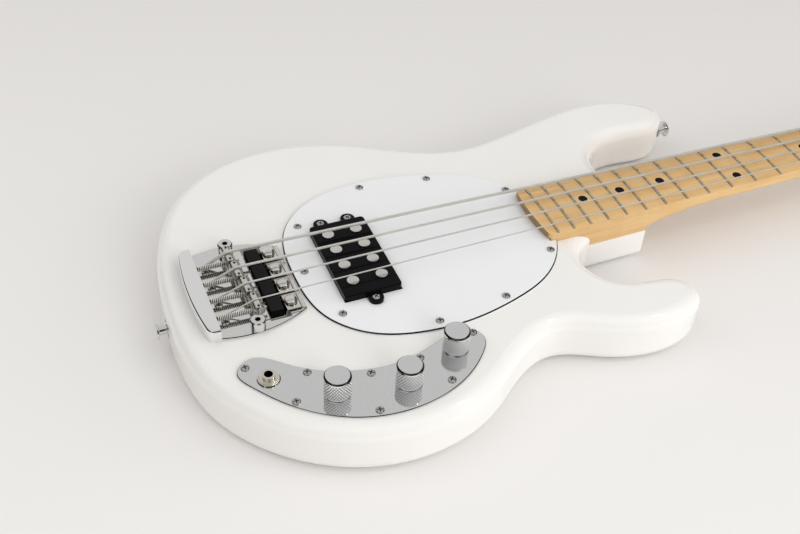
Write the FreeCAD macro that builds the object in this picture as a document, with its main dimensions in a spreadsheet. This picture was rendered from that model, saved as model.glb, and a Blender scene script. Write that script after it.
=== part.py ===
"""Electric bass guitar with four strings, a bolt-on maple neck and a mute bridge.

X runs along the strings from the saddles to the nut, Y points to the bass side
and Z points up from the flat back of the body. The origin is on the centre line
of the back, under the line where the scale length ends. Lengths are in millimetres.
"""

import FreeCAD, Part
import math
import os

from FreeCAD import Placement, Rotation, Vector

# Driving dimensions, written to the sheet below
SIZES = {
    # Body slab
    "body_length": 511.0,
    "body_width": 346.8,
    "body_thickness": 44.5,
    "tail_reach": 65.5,
    "tongue_end": 346.0,
    "tongue_start": 262.0,
    "tongue_margin": 0.6,
    "tongue_edge_radius": 9.0,
    # Neck and fretboard
    "scale_length": 863.6,
    "nut_width": 41.3,
    "board_end": 245.3,
    "board_end_bow": 3.4,
    "board_end_width": 63.9,
    "board_corner_radius": 5.0,
    "board_top": 55.0,
    "board_thickness": 6.5,
    "board_radius": 279.0,
    "heel_start": 250.0,
    "pocket_floor": 30.0,
    "pocket_clearance": 0.1,
    "shaft_bottom_heel": 33.2,
    "shaft_bottom_nut": 34.6,
    "head_bottom": 30.5,
    "head_thickness": 15.0,
    "head_length": 207.0,
    "head_width": 92.0,
    "head_edge_radius": 2.0,
    "head_ramp_length": 14.0,
    "head_overlap": 2.0,
    "nut_thickness": 4.4,
    "nut_top": 58.2,
    "nut_slot_floor": 56.3,
    "nut_string_spread": 31.2,
    "rod_radius": 3.0,
    "rod_height": 40.5,
    "rod_start": 262.0,
    "rod_end": 852.0,
    # Frets and position markers
    "fret_width": 2.3,
    "fret_height": 1.1,
    "fret_tang_width": 0.6,
    "fret_tang_depth": 2.0,
    "fret_inset": 0.5,
    "marker_radius": 4.0,
    "marker_depth": 1.6,
    "marker_pair_spread": 31.4,
    # Neck fixing
    "neck_plate_length": 63.0,
    "neck_plate_width": 51.0,
    "neck_plate_thickness": 2.0,
    "neck_plate_start": 266.0,
    "neck_screw_inset": 7.5,
    "neck_screw_radius": 2.1,
    "neck_screw_head_radius": 4.2,
    "neck_screw_top": 43.0,
    # Pickguard
    "guard_tail": 37.0,
    "guard_length": 225.0,
    "guard_width": 186.0,
    "guard_thickness": 2.5,
    "guard_bevel": 1.2,
    "guard_gap": 0.3,
    # Pickup
    "pickup_centre": 88.5,
    "pickup_length": 47.4,
    "pickup_width": 87.6,
    "pickup_top": 53.0,
    "pickup_bottom": 33.0,
    "pickup_wall": 1.6,
    "pickup_corner": 3.0,
    "pickup_edge": 1.2,
    "ear_radius": 6.0,
    "ear_reach": 4.3,
    "ear_thickness": 2.6,
    "ear_spread": 23.6,
    "pole_radius": 4.75,
    "pole_spread": 24.0,
    "pole_pitch": 19.2,
    "pole_rise": 1.2,
    "coil_margin": 4.5,
    "coil_clearance": 0.4,
    "cavity_gap": 0.6,
    "cavity_depth": 13.0,
    # Control plate and what it carries
    "plate_tail": -33.0,
    "plate_edge_inset": 99.4,
    "plate_length": 183.5,
    "plate_width": 84.5,
    "plate_thickness": 1.6,
    "control_cavity_depth": 37.5,
    "wire_bore_radius": 3.0,
    "wire_bore_height": 34.5,
    "knob_radius": 10.0,
    "knob_height": 17.6,
    "knob_lift": 0.4,
    "knob_chamfer": 1.3,
    "knob_groove_height": 0.9,
    "knob_groove_width": 0.7,
    "knob_groove_depth": 0.5,
    "knob_skirt_radius": 6.6,
    "knob_skirt_depth": 5.0,
    "pot_radius": 8.2,
    "pot_height": 9.0,
    "pot_bush_radius": 4.0,
    "pot_bush_rise": 2.8,
    "pot_nut_radius": 5.6,
    "pot_nut_height": 1.8,
    "shaft_radius": 3.0,
    "shaft_clearance": 0.05,
    "shaft_grip": 10.0,
    "jack_bore_radius": 3.25,
    "jack_bore_depth": 31.0,
    "jack_bush_radius": 5.0,
    "jack_rise": 5.4,
    "jack_flange_radius": 8.6,
    "jack_flange_height": 0.9,
    "jack_nut_radius": 7.6,
    "jack_nut_height": 2.3,
    "jack_body_radius": 6.6,
    "jack_base": 2.0,
    "board_card_length": 46.0,
    "board_card_width": 16.0,
    "board_card_thickness": 1.6,
    "battery_length": 48.5,
    "battery_width": 17.5,
    "battery_height": 26.2,
    # Bridge
    "bridge_front": 36.0,
    "bridge_front_width": 75.5,
    "bridge_widest": 102.0,
    "bridge_thickness": 2.0,
    "plate_edge": 0.5,
    "hood_front": -33.6,
    "hood_depth": 9.1,
    "hood_bow": 4.7,
    "hood_width": 96.6,
    "hood_top": 55.5,
    "hood_wall": 1.4,
    "hood_round": 2.4,
    "hood_end_round": 7.0,
    "bolt_x": -5.0,
    "bolt_spread": 90.6,
    "bolt_radius": 6.0,
    "bolt_top": 54.5,
    "bolt_chamfer": 0.8,
    "bolt_socket_radius": 2.4,
    "bolt_socket_depth": 4.5,
    "bolt_shank_radius": 4.0,
    "bolt_shank_depth": 24.0,
    "bridge_screw_x": -26.6,
    "bridge_screw_shift": -3.3,
    "string_pitch": 19.3,
    "saddle_height": 54.2,
    "saddle_radius": 4.6,
    "saddle_length": 18.4,
    "saddle_groove_depth": 0.5,
    "saddle_edge": 0.6,
    "grub_radius": 1.5,
    "grub_spread": 13.3,
    "grub_socket_radius": 1.0,
    "grub_socket_depth": 2.0,
    "grub_sink": 0.4,
    "running_clearance": 0.05,
    "screw_height": 51.6,
    "screw_shift": -3.2,
    "screw_radius": 1.3,
    "screw_tip": 7.4,
    "screw_head_radius": 2.0,
    "screw_head_length": 2.0,
    "spring_radius": 1.95,
    "spring_wire_radius": 0.35,
    "spring_pitch": 1.6,
    "seat_gap": 0.15,
    # Mutes
    "mute_window_front": 22.6,
    "mute_window_rear": 5.8,
    "mute_window_width": 86.0,
    "mute_recess_depth": 5.2,
    "mute_pad_front": 18.4,
    "mute_pad_length": 11.0,
    "mute_pad_width": 15.8,
    "mute_pad_top": 50.0,
    "mute_pad_edge": 0.7,
    "leaf_front": 35.6,
    "leaf_foot": 3.0,
    "leaf_rise": 0.9,
    "leaf_thickness": 0.9,
    "leaf_width": 17.0,
    "leaf_shelf_end": 20.2,
    "leaf_drop_x": 19.0,
    "leaf_tongue": 41.9,
    "leaf_hole_radius": 2.4,
    "mute_screw_x": 25.6,
    "mute_head_radius": 5.3,
    "mute_head_height": 3.7,
    "mute_head_rim": 1.2,
    "mute_screw_radius": 1.6,
    "mute_screw_depth": 9.0,
    # Strings
    "string_hole_x": -27.0,
    "string_hole_shift": 2.0,
    "string_hole_rise": 0.8,
    "string_hole_bend": 2.5,
    "ball_radius": 2.4,
    "ball_well_radius": 3.6,
    "ball_well_depth": 8.0,
    "string_gap": 0.1,
    "string_hole_gap": 0.4,
    "nut_bend_radius": 8.0,
    "nut_bend_reach": 1.4,
    # Tuners
    "post_near": 57.0,
    "post_far": 137.0,
    "post_near_spread": 56.0,
    "post_far_spread": 50.0,
    "post_radius": 6.0,
    "post_waist_radius": 4.8,
    "post_waist_start": 3.2,
    "post_waist_length": 11.5,
    "post_rise": 19.5,
    "post_slot_width": 2.6,
    "post_slot_depth": 4.0,
    "bush_radius": 8.0,
    "bush_flange_radius": 9.6,
    "bush_flange_height": 2.2,
    "housing_length": 30.0,
    "housing_width": 23.0,
    "housing_height": 10.5,
    "housing_round": 2.5,
    "housing_shift": 5.5,
    "post_foot": 7.0,
    "key_shift": 10.5,
    "key_drop": 5.2,
    "key_shaft_radius": 3.0,
    "key_shaft_depth": 12.0,
    "key_neck": 13.0,
    "key_length": 24.0,
    "key_width": 22.0,
    "key_thickness": 6.5,
    "key_round": 2.4,
    "retainer_x": 30.0,
    "retainer_spread": 27.2,
    "retainer_post_radius": 3.1,
    "retainer_bar_drop": 0.6,
    "retainer_radius": 2.6,
    "retainer_height": 8.4,
    # Strap buttons
    "button_radius": 7.6,
    "button_neck_radius": 4.2,
    "button_length": 10.5,
    "button_flange": 2.2,
    "button_height": 22.2,
    "button_seat": 2.0,
    "button_screw_radius": 2.0,
    "button_screw_depth": 22.0,
    "button_screw_head": 3.4,
    # Small screws shared by guard, plates, pickup and tuners
    "small_screw_radius": 1.4,
    "small_screw_head_radius": 3.2,
    "small_screw_head_height": 1.3,
    "small_screw_depth": 10.0,
    # One overrun for every cut
    "overrun": 5.0,
}

FRET_COUNT = 21
SINGLE_MARKERS = (3, 5, 7, 9, 15, 17, 19)
PAIR_MARKER = 12
STRING_RADII_NAMES = ("string_1_radius", "string_2_radius", "string_3_radius", "string_4_radius")
SIZES.update(zip(STRING_RADII_NAMES, (1.33, 1.07, 0.81, 0.57)))
SADDLE_NAMES = ("saddle_1_setback", "saddle_2_setback", "saddle_3_setback", "saddle_4_setback")
SIZES.update(zip(SADDLE_NAMES, (6.8, 5.2, 3.1, 1.3)))
POST_TURNS = 2.5
# Lengths below this count as nothing when edges are picked
TOUCH = 1e-6

# Outlines and places as shares of the sizes that they follow
BODY_OUTLINE_SHARES = (
    (0.0, 0.0), (0.019, 0.404), (0.075, 0.75), (0.167, 0.946), (0.285, 0.999),
    (0.392, 0.923), (0.486, 0.773), (0.574, 0.683), (0.676, 0.721), (0.794, 0.81),
    (0.891, 0.833), (0.97, 0.75), (1.0, 0.623), (0.974, 0.525), (0.901, 0.51),
    (0.837, 0.479), (0.803, 0.375), (0.797, 0.242), (0.803, 0.069), (0.752, -0.087),
    (0.689, -0.19), (0.656, -0.277), (0.654, -0.398), (0.682, -0.507), (0.739, -0.548),
    (0.782, -0.6), (0.79, -0.704), (0.75, -0.796), (0.686, -0.813), (0.614, -0.752),
    (0.543, -0.675), (0.48, -0.738), (0.408, -0.892), (0.285, -1.0), (0.163, -0.923),
    (0.073, -0.727), (0.017, -0.461), (0.001, -0.202),
)
# Edge roundness that the horn tips leave room for, and the height of the upper strap button
BODY_EDGE_SHARE = 0.04674
HORN_BUTTON_SHARE = 0.6055
GUARD_OUTLINE_SHARES = (
    (0.0, 0.0), (0.038, 0.559), (0.151, 0.855), (0.329, 0.995), (0.502, 1.0),
    (0.687, 0.903), (0.836, 0.747), (0.933, 0.522), (1.0, 0.0),
)
GUARD_SCREW_SHARES = (
    (0.042, 0.0), (0.097, 0.583), (0.393, 0.927), (0.659, 0.847), (0.922, 0.449),
)
PLATE_OUTLINE_SHARES = (
    (0.0, 0.13), (0.065, 0.0), (0.193, 0.15), (0.383, 0.393), (0.624, 0.466),
    (0.85, 0.324), (0.947, 0.289), (1.0, 0.414), (0.948, 0.646), (0.757, 0.923),
    (0.523, 0.999), (0.303, 0.869), (0.129, 0.58), (0.033, 0.314),
)
PLATE_SCREW_SHARES = (
    (0.038, 0.092), (0.259, 0.317), (0.172, 0.598), (0.493, 0.512),
    (0.706, 0.491), (0.456, 0.92), (0.778, 0.82), (0.966, 0.367),
)
CAVITY_OUTLINE_SHARES = (
    (0.0545, 0.2249), (0.1308, 0.1716), (0.2016, 0.3195), (0.2888, 0.4556), (0.4087, 0.5621),
    (0.5886, 0.5621), (0.7084, 0.5562), (0.7902, 0.4083), (0.8774, 0.3491), (0.9264, 0.4497),
    (0.9101, 0.5917), (0.7466, 0.7456), (0.6812, 0.8521), (0.5395, 0.8639), (0.3978, 0.8521),
    (0.2888, 0.7574), (0.2125, 0.5562), (0.0926, 0.4142),
)
KNOB_SHARES = ((0.336, 0.613), (0.617, 0.71), (0.865, 0.48))
KNOB_NAMES = ("volume_knob", "treble_knob", "bass_knob")
JACK_SHARE = (0.108, 0.279)
# How far the card and the battery lie from the first knob's line to the second's
CARD_SHARE = 0.8
HEAD_OUTLINE_SHARES = (
    (0.0, 0.435), (0.106, 0.565), (0.232, 0.891), (0.386, 1.0),
    (0.638, 0.946), (0.879, 0.804), (0.981, 0.435), (1.0, 0.0),
)
# A point half way down the hollow ramp behind the nut
RAMP_MIDDLE_SHARE = (0.5, 0.27)
# Stations along the neck shaft: share of its length, share of the way from the
# heel's depth to the shaft's depth, and the squareness of the section
SHAFT_STATION_SHARES = (
    (0.0, 0.0, 9.0), (0.03, 0.2, 4.5), (0.075, 0.65, 3.0), (0.15, 1.0, 2.4),
    (0.5, 1.0, 2.2), (0.92, 1.0, 2.2), (1.0, 0.45, 3.2),
)

doc = FreeCAD.newDocument("bass_guitar")
sheet = doc.addObject("Spreadsheet::Sheet", "sizes")
for row, (alias, value) in enumerate(SIZES.items(), start=1):
    sheet.set(f"A{row}", alias)
    sheet.set(f"B{row}", str(value))
    sheet.setAlias(f"B{row}", alias)
doc.recompute()

NODES = {}


class SheetValues:
    """The sheet's cells, read by alias."""

    def __getattr__(self, alias):
        return float(sheet.get(alias))


s = SheetValues()
UP = Vector(0, 0, 1)
ALONG = Vector(1, 0, 0)
ACROSS = Vector(0, 1, 0)


def keep(node, obj):
    """Name the finished object of a node."""
    obj.Label = node
    NODES[node] = obj
    return obj


def at(x, y, z, axis=UP):
    """A placement at a point, with local Z turned to the given axis."""
    return Placement(Vector(x, y, z), Rotation(UP, axis))


def origin_plane(body, role):
    """One of the body's own origin planes."""
    return next(item for item in body.Origin.OriginFeatures if item.Role == role)


def new_sketch(body, name, role, curves, level=None):
    """A sketch on the body's own plane, lifted to a level of the sheet."""
    sketch = body.newObject("Sketcher::SketchObject", name)
    sketch.AttachmentSupport = (origin_plane(body, role), [""])
    sketch.MapMode = "FlatFace"
    if level:
        sketch.setExpression("AttachmentOffset.Base.z", level)
    for curve in curves:
        sketch.addGeometry(curve, False)
    return sketch


def padded(name, curves, height, level=None):
    """A body padded up from a level by a height, both given as sheet expressions."""
    body = doc.addObject("PartDesign::Body", name)
    sketch = new_sketch(body, name + "_outline", "XY_Plane", curves, level)
    pad = body.newObject("PartDesign::Pad", name + "_pad")
    pad.Profile = sketch
    pad.setExpression("Length", height)
    doc.recompute()
    return body


def rounded(body, radius, chosen):
    """Fillet the body's edges that the chosen test picks."""
    base = body.Tip
    names = [f"Edge{i}" for i, edge in enumerate(base.Shape.Edges, start=1) if chosen(edge)]
    fillet = body.newObject("PartDesign::Fillet", body.Name + "_round")
    fillet.Base = (base, names)
    fillet.setExpression("Radius", radius)
    doc.recompute()
    return body


def bevelled(body, width, chosen):
    """Chamfer the body's edges that the chosen test picks."""
    base = body.Tip
    names = [f"Edge{i}" for i, edge in enumerate(base.Shape.Edges, start=1) if chosen(edge)]
    chamfer = body.newObject("PartDesign::Chamfer", body.Name + "_bevel")
    chamfer.Base = (base, names)
    chamfer.setExpression("Size", width)
    doc.recompute()
    return body


def turned(name, profile, placement=Placement()):
    """A body turned about its local Z from a closed profile of radius and height."""
    body = doc.addObject("PartDesign::Body", name)
    corners = [Vector(radius, height, 0) for radius, height in profile]
    curves = [Part.LineSegment(a, b) for a, b in zip(corners, corners[1:] + corners[:1])]
    sketch = new_sketch(body, name + "_profile", "XZ_Plane", curves)
    turn = body.newObject("PartDesign::Revolution", name + "_turn")
    turn.Profile = sketch
    turn.ReferenceAxis = (sketch, ["V_Axis"])
    turn.Angle = 360
    body.Placement = placement
    doc.recompute()
    return body


def rod(name, radius, height, placement):
    """A cylinder bound to the sheet."""
    cylinder = doc.addObject("Part::Cylinder", name)
    cylinder.setExpression("Radius", radius)
    cylinder.setExpression("Height", height)
    cylinder.Placement = placement
    doc.recompute()
    return cylinder


def shaped(name, shape):
    """A feature that holds a shape made from the sheet's values."""
    feature = doc.addObject("Part::Feature", name)
    feature.Shape = shape
    return feature


def repeated(name, base, placements):
    """Separate copies of one shape at several placements."""
    copies = []
    for placement in placements:
        copy = base.Shape.copy()
        copy.Placement = placement.multiply(base.Shape.Placement)
        copies.append(copy)
    return shaped(name, Part.makeCompound(copies))


def grouped(name, objects):
    """Several objects kept as separate solids of one node."""
    group = doc.addObject("Part::Compound", name)
    group.Links = objects
    doc.recompute()
    return group


def cut(name, base, tool):
    """The base with the tool taken away; a tool that misses is an error."""
    result = doc.addObject("Part::Cut", name)
    result.Base = base
    result.Tool = tool
    doc.recompute()
    if result.Shape.Volume >= base.Shape.Volume:
        raise RuntimeError(f"{name} cuts nothing")
    return result


def fused(name, objects):
    """Objects joined into one solid."""
    result = doc.addObject("Part::MultiFuse", name)
    result.Shapes = objects
    doc.recompute()
    return result


def flat(edge):
    """Whether an edge lies in a plane of constant height."""
    return edge.BoundBox.ZLength < TOUCH


def upright(edge):
    """Whether an edge is a straight line along Z."""
    return edge.BoundBox.XLength < TOUCH and edge.BoundBox.YLength < TOUCH


def closed_curve(points, pieces=8):
    """A smooth closed outline through the points, in a few joined pieces."""
    wrap = min(4, len(points))
    around = list(points[-wrap:]) + list(points) + list(points[:wrap + 1])
    corners = [Vector(x, y, 0) for x, y in around]
    runs = [0.0]
    for a, b in zip(corners, corners[1:]):
        runs.append(runs[-1] + a.distanceToPoint(b))
    curve = Part.BSplineCurve()
    curve.interpolate(Points=corners, Parameters=runs)
    first = runs[wrap]
    span = (runs[wrap + len(points)] - first) / pieces
    parts = []
    for index in range(pieces):
        part = curve.copy()
        part.segment(first + span * index, first + span * (index + 1))
        parts.append(part)
    return parts


def polygon(points):
    """A closed outline of straight sides."""
    corners = [Vector(x, y, 0) for x, y in points]
    return [Part.LineSegment(a, b) for a, b in zip(corners, corners[1:] + corners[:1])]


def rectangle(x0, y0, x1, y1):
    """A closed rectangle between two corners."""
    return polygon(((x0, y0), (x1, y0), (x1, y1), (x0, y1)))


def circle(x, y, radius):
    """A full circle."""
    return Part.Circle(Vector(x, y, 0), UP, radius)


def outline_points(shares, x0, length, half_width):
    """Points of an outline from its shares of a length and a half width."""
    return [(x0 + length * along, half_width * across) for along, across in shares]


def mirrored_points(half):
    """A half outline from the first to the last point, completed on the other side."""
    return list(half) + [(x, -y) for x, y in reversed(half) if y > 0]


# Curves of lines and tangent arcs
def bend(before, corner, after, radius):
    """The start, middle and end of the arc that rounds a corner of a path."""
    back = (before - corner).normalize()
    ahead = (after - corner).normalize()
    half = back.getAngle(ahead) / 2
    reach = radius / math.tan(half)
    middle_way = (back + ahead).normalize()
    centre = corner + middle_way * (radius / math.sin(half))
    return corner + back * reach, centre - middle_way * radius, corner + ahead * reach


def biarc(start, start_way, end, end_way):
    """Two tangent arcs from a start to an end with the given unit directions."""
    gap = end - start
    ways = start_way + end_way
    square = 2 * (1 - start_way.dot(end_way))
    linear = gap.dot(ways)
    if square < TOUCH ** 2:
        reach = gap.dot(gap) / (4 * gap.dot(end_way))
    else:
        reach = (math.sqrt(linear ** 2 + square * gap.dot(gap)) - linear) / square
    first_control = start + start_way * reach
    second_control = end - end_way * reach
    joint = (first_control + second_control) / 2
    edges = []
    for a, control, b in ((start, first_control, joint), (joint, second_control, end)):
        chord_middle = (a + b) / 2
        rise = control - chord_middle
        half_chord = (b - a).Length / 2
        half_turn = math.atan2(rise.Length, half_chord)
        sagitta = half_chord * math.tan(half_turn / 2)
        middle = chord_middle + rise.normalize() * sagitta
        edges.append(Part.Arc(a, middle, b).toShape())
    return edges


def tube(edges, radius):
    """A round tube along tangent edges."""
    wire = Part.Wire(edges)
    start = edges[0].valueAt(edges[0].FirstParameter)
    way = edges[0].tangentAt(edges[0].FirstParameter)
    section = Part.Wire(Part.Circle(start, way, radius).toShape())
    return wire.makePipeShell([section], True, False)


def line(a, b):
    """A straight edge."""
    return Part.LineSegment(a, b).toShape()


# Shared places
board_bottom = s.board_top - s.board_thickness
head_start = s.scale_length + s.nut_thickness
head_top = s.head_bottom + s.head_thickness
top = s.body_thickness
guard_top = top + s.guard_thickness
plate_top = top + s.plate_thickness
bridge_top = top + s.bridge_thickness
string_lines = [s.string_pitch * (1.5 - index) for index in range(4)]
string_radii = [getattr(s, name) for name in STRING_RADII_NAMES]
saddle_xs = [-getattr(s, name) for name in SADDLE_NAMES]
groove_radius = s.saddle_radius - s.saddle_groove_depth
bar_height = head_top + s.retainer_height - s.retainer_radius - s.retainer_bar_drop
nut_lines = [s.nut_string_spread / 2 * share for share in (1, 1 / 3, -1 / 3, -1)]


def board_half(x):
    """Half the width of the fretboard at a station."""
    share = (s.scale_length - x) / (s.scale_length - s.board_end)
    return (s.nut_width + (s.board_end_width - s.nut_width) * share) / 2


def fret_x(number):
    """Distance from the saddle line to a fret."""
    return s.scale_length * 2 ** (-number / 12)


def plate_point(share):
    """A point on the control plate from its shares."""
    return s.plate_tail + s.plate_length * share[0], s.plate_edge_inset - s.body_width / 2 - s.plate_width * share[1]


def small_screw(name):
    """A small domed screw whose head rests on local zero."""
    radius = s.small_screw_head_radius
    height = s.small_screw_head_height
    return turned(name, (
        (0, -s.small_screw_depth), (s.small_screw_radius, -s.small_screw_depth + s.small_screw_radius),
        (s.small_screw_radius, 0), (radius, 0), (radius * 0.94, height * 0.45),
        (radius * 0.62, height * 0.9), (0, height),
    ))


# Places of the small screws
guard_screws = []
for along, across in GUARD_SCREW_SHARES:
    for side in ((1, -1) if across else (1,)):
        guard_screws.append((s.guard_tail + s.guard_length * along,
                             s.guard_width / 2 * across * side))
plate_screws = [plate_point(share) for share in PLATE_SCREW_SHARES]
ear_y = s.pickup_width / 2 + s.ear_reach
ear_screws = [(s.pickup_centre - s.ear_spread / 2, ear_y), (s.pickup_centre + s.ear_spread / 2, ear_y),
              (s.pickup_centre, -ear_y)]
ear_top = guard_top + s.ear_thickness
knob_places = [plate_point(share) for share in KNOB_SHARES]
jack_place = plate_point(JACK_SHARE)
bridge_screws = [(s.bridge_screw_x, y + s.bridge_screw_shift) for y in string_lines]
bolt_places = [(s.bolt_x, s.bolt_spread / 2), (s.bolt_x, -s.bolt_spread / 2)]
neck_plate_end = s.neck_plate_start + s.neck_plate_length
neck_screws = [(x, y) for x in (s.neck_plate_start + s.neck_screw_inset, neck_plate_end - s.neck_screw_inset)
               for y in (s.neck_plate_width / 2 - s.neck_screw_inset,
                         s.neck_screw_inset - s.neck_plate_width / 2)]
tail_seat = s.button_seat - s.tail_reach
horn_seat = s.body_length - s.tail_reach - s.button_seat
horn_button_y = s.body_width / 2 * HORN_BUTTON_SHARE
buttons = [at(tail_seat, 0, s.button_height, -ALONG),
           at(horn_seat, horn_button_y, s.button_height, ALONG)]


# Body
def make_body():
    points = outline_points(BODY_OUTLINE_SHARES, -s.tail_reach, s.body_length, s.body_width / 2)
    slab = padded("body_slab", closed_curve(points), "sizes.body_thickness")
    rounded(slab, f"{BODY_EDGE_SHARE} * sizes.body_width * sizes.body_width / sizes.body_length", flat)
    half_start = board_half(s.tongue_start) + s.tongue_margin
    half_end = board_half(s.tongue_end) + s.tongue_margin
    tongue = padded("heel_tongue", polygon((
        (s.tongue_start, half_start), (s.tongue_start, -half_start),
        (s.tongue_end, -half_end), (s.tongue_end, half_end))), "sizes.pocket_floor")
    rounded(tongue, "sizes.tongue_edge_radius", lambda edge: flat(edge) and edge.BoundBox.ZMax < TOUCH
            and edge.BoundBox.XMax > s.tongue_start + s.overrun)
    whole = fused("body_blank", [slab, tongue])

    past = s.body_length - s.tail_reach
    clear = s.pocket_clearance
    pocket = padded("neck_pocket", polygon((
        (s.heel_start - clear, board_half(s.heel_start) + clear),
        (s.heel_start - clear, -board_half(s.heel_start) - clear),
        (past, -board_half(past) - clear), (past, board_half(past) + clear))),
        "sizes.body_thickness", "sizes.pocket_floor")
    pickup_half = s.pickup_length / 2 + s.cavity_gap
    pickup_side = s.pickup_width / 2 + s.cavity_gap
    pickup_well = padded("pickup_cavity", rectangle(
        s.pickup_centre - pickup_half, -pickup_side, s.pickup_centre + pickup_half, pickup_side),
        "sizes.cavity_depth + sizes.overrun", "sizes.body_thickness - sizes.cavity_depth")
    control_well = padded("control_cavity", polygon([plate_point(share) for share in CAVITY_OUTLINE_SHARES]),
                          "sizes.control_cavity_depth + sizes.overrun",
                          "sizes.body_thickness - sizes.control_cavity_depth")
    recess = padded("mute_recess", rectangle(
        s.mute_window_rear, -s.mute_window_width / 2, s.mute_window_front, s.mute_window_width / 2),
        "sizes.mute_recess_depth + sizes.overrun", "sizes.body_thickness - sizes.mute_recess_depth")
    plate_seat = padded("neck_plate_seat", rectangle(
        s.neck_plate_start, -s.neck_plate_width / 2, neck_plate_end, s.neck_plate_width / 2),
        "sizes.neck_plate_thickness + sizes.overrun", "-sizes.overrun")
    seats = [Part.makeCylinder(s.button_radius, s.overrun, Vector(tail_seat, 0, s.button_height), -ALONG),
             Part.makeCylinder(s.button_radius, s.overrun,
                               Vector(horn_seat, horn_button_y, s.button_height), ALONG)]
    wells = grouped("body_wells", [pocket, pickup_well, control_well, recess, plate_seat,
                                   shaped("button_seats", Part.makeCompound(seats))])
    hollowed = cut("body_hollowed", whole, wells)

    holes = []
    for x, y in guard_screws:
        holes.append(Part.makeCylinder(s.small_screw_radius, s.small_screw_depth,
                                       Vector(x, y, guard_top - s.small_screw_depth)))
    for x, y in plate_screws:
        holes.append(Part.makeCylinder(s.small_screw_radius, s.small_screw_depth,
                                       Vector(x, y, plate_top - s.small_screw_depth)))
    for x, y in ear_screws:
        holes.append(Part.makeCylinder(s.small_screw_radius, s.small_screw_depth,
                                       Vector(x, y, ear_top - s.small_screw_depth)))
    for x, y in bridge_screws:
        holes.append(Part.makeCylinder(s.small_screw_radius, s.small_screw_depth,
                                       Vector(x, y, bridge_top - s.small_screw_depth)))
    for x, y in bolt_places:
        holes.append(Part.makeCylinder(s.bolt_shank_radius, s.bolt_shank_depth + s.overrun,
                                       Vector(x, y, bridge_top - s.bolt_shank_depth)))
    for y in string_lines:
        holes.append(Part.makeCylinder(s.mute_screw_radius + s.running_clearance, s.mute_screw_depth + s.overrun,
                                       Vector(s.mute_screw_x, y, bridge_top - s.mute_screw_depth - s.overrun)))
    for index, radius in enumerate(string_radii):
        start, apex = string_lift(index)
        foot = Vector(start.x, start.y, 0)
        holes.append(Part.makeCylinder(radius + s.string_hole_gap, s.body_thickness, foot))
        holes.append(Part.makeCylinder(s.ball_well_radius, s.ball_well_depth, foot))
    for x, y in neck_screws:
        holes.append(Part.makeCylinder(s.neck_screw_radius, s.body_thickness, Vector(x, y, 0)))
    wire_start = Vector(s.pickup_centre - s.pickup_length / 4, -s.pickup_width / 2 + s.overrun,
                        s.wire_bore_height)
    wire_end = knob_places[1][1] + s.pot_radius
    holes.append(Part.makeCylinder(s.wire_bore_radius, wire_start.y - wire_end, wire_start, -ACROSS))
    for seat in buttons:
        holes.append(Part.makeCylinder(s.button_screw_radius, s.button_screw_depth,
                                       seat.Base, seat.Rotation.multVec(-UP)))
    return keep("body", cut("body", hollowed, shaped("body_holes", Part.makeCompound(holes))))


# Neck, fretboard, frets and markers
def shaft_section(x, bottom, squareness):
    """The closed section of the neck shaft at a station."""
    half = board_half(x)
    depth = board_bottom - bottom
    steps = 12
    points = []
    for step in range(steps + 1):
        turn = math.pi * step / steps
        across = abs(math.cos(turn)) ** (2 / squareness) * math.copysign(1, math.cos(turn))
        down = abs(math.sin(turn)) ** (2 / squareness)
        points.append(Vector(x, half * across, board_bottom - depth * down))
    points[0] = Vector(x, half, board_bottom)
    points[-1] = Vector(x, -half, board_bottom)
    curve = Part.BSplineCurve()
    curve.interpolate(points)
    return Part.Wire([curve.toShape(), line(points[-1], points[0])])


def tuner_places():
    """Centre of each post from the bass string to the treble string, with its side."""
    near_x = head_start + s.post_near
    far_x = head_start + s.post_far
    near_y = s.post_near_spread / 2
    far_y = s.post_far_spread / 2
    return [(near_x, near_y, 1), (far_x, far_y, 1), (far_x, -far_y, -1), (near_x, -near_y, -1)]


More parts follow.
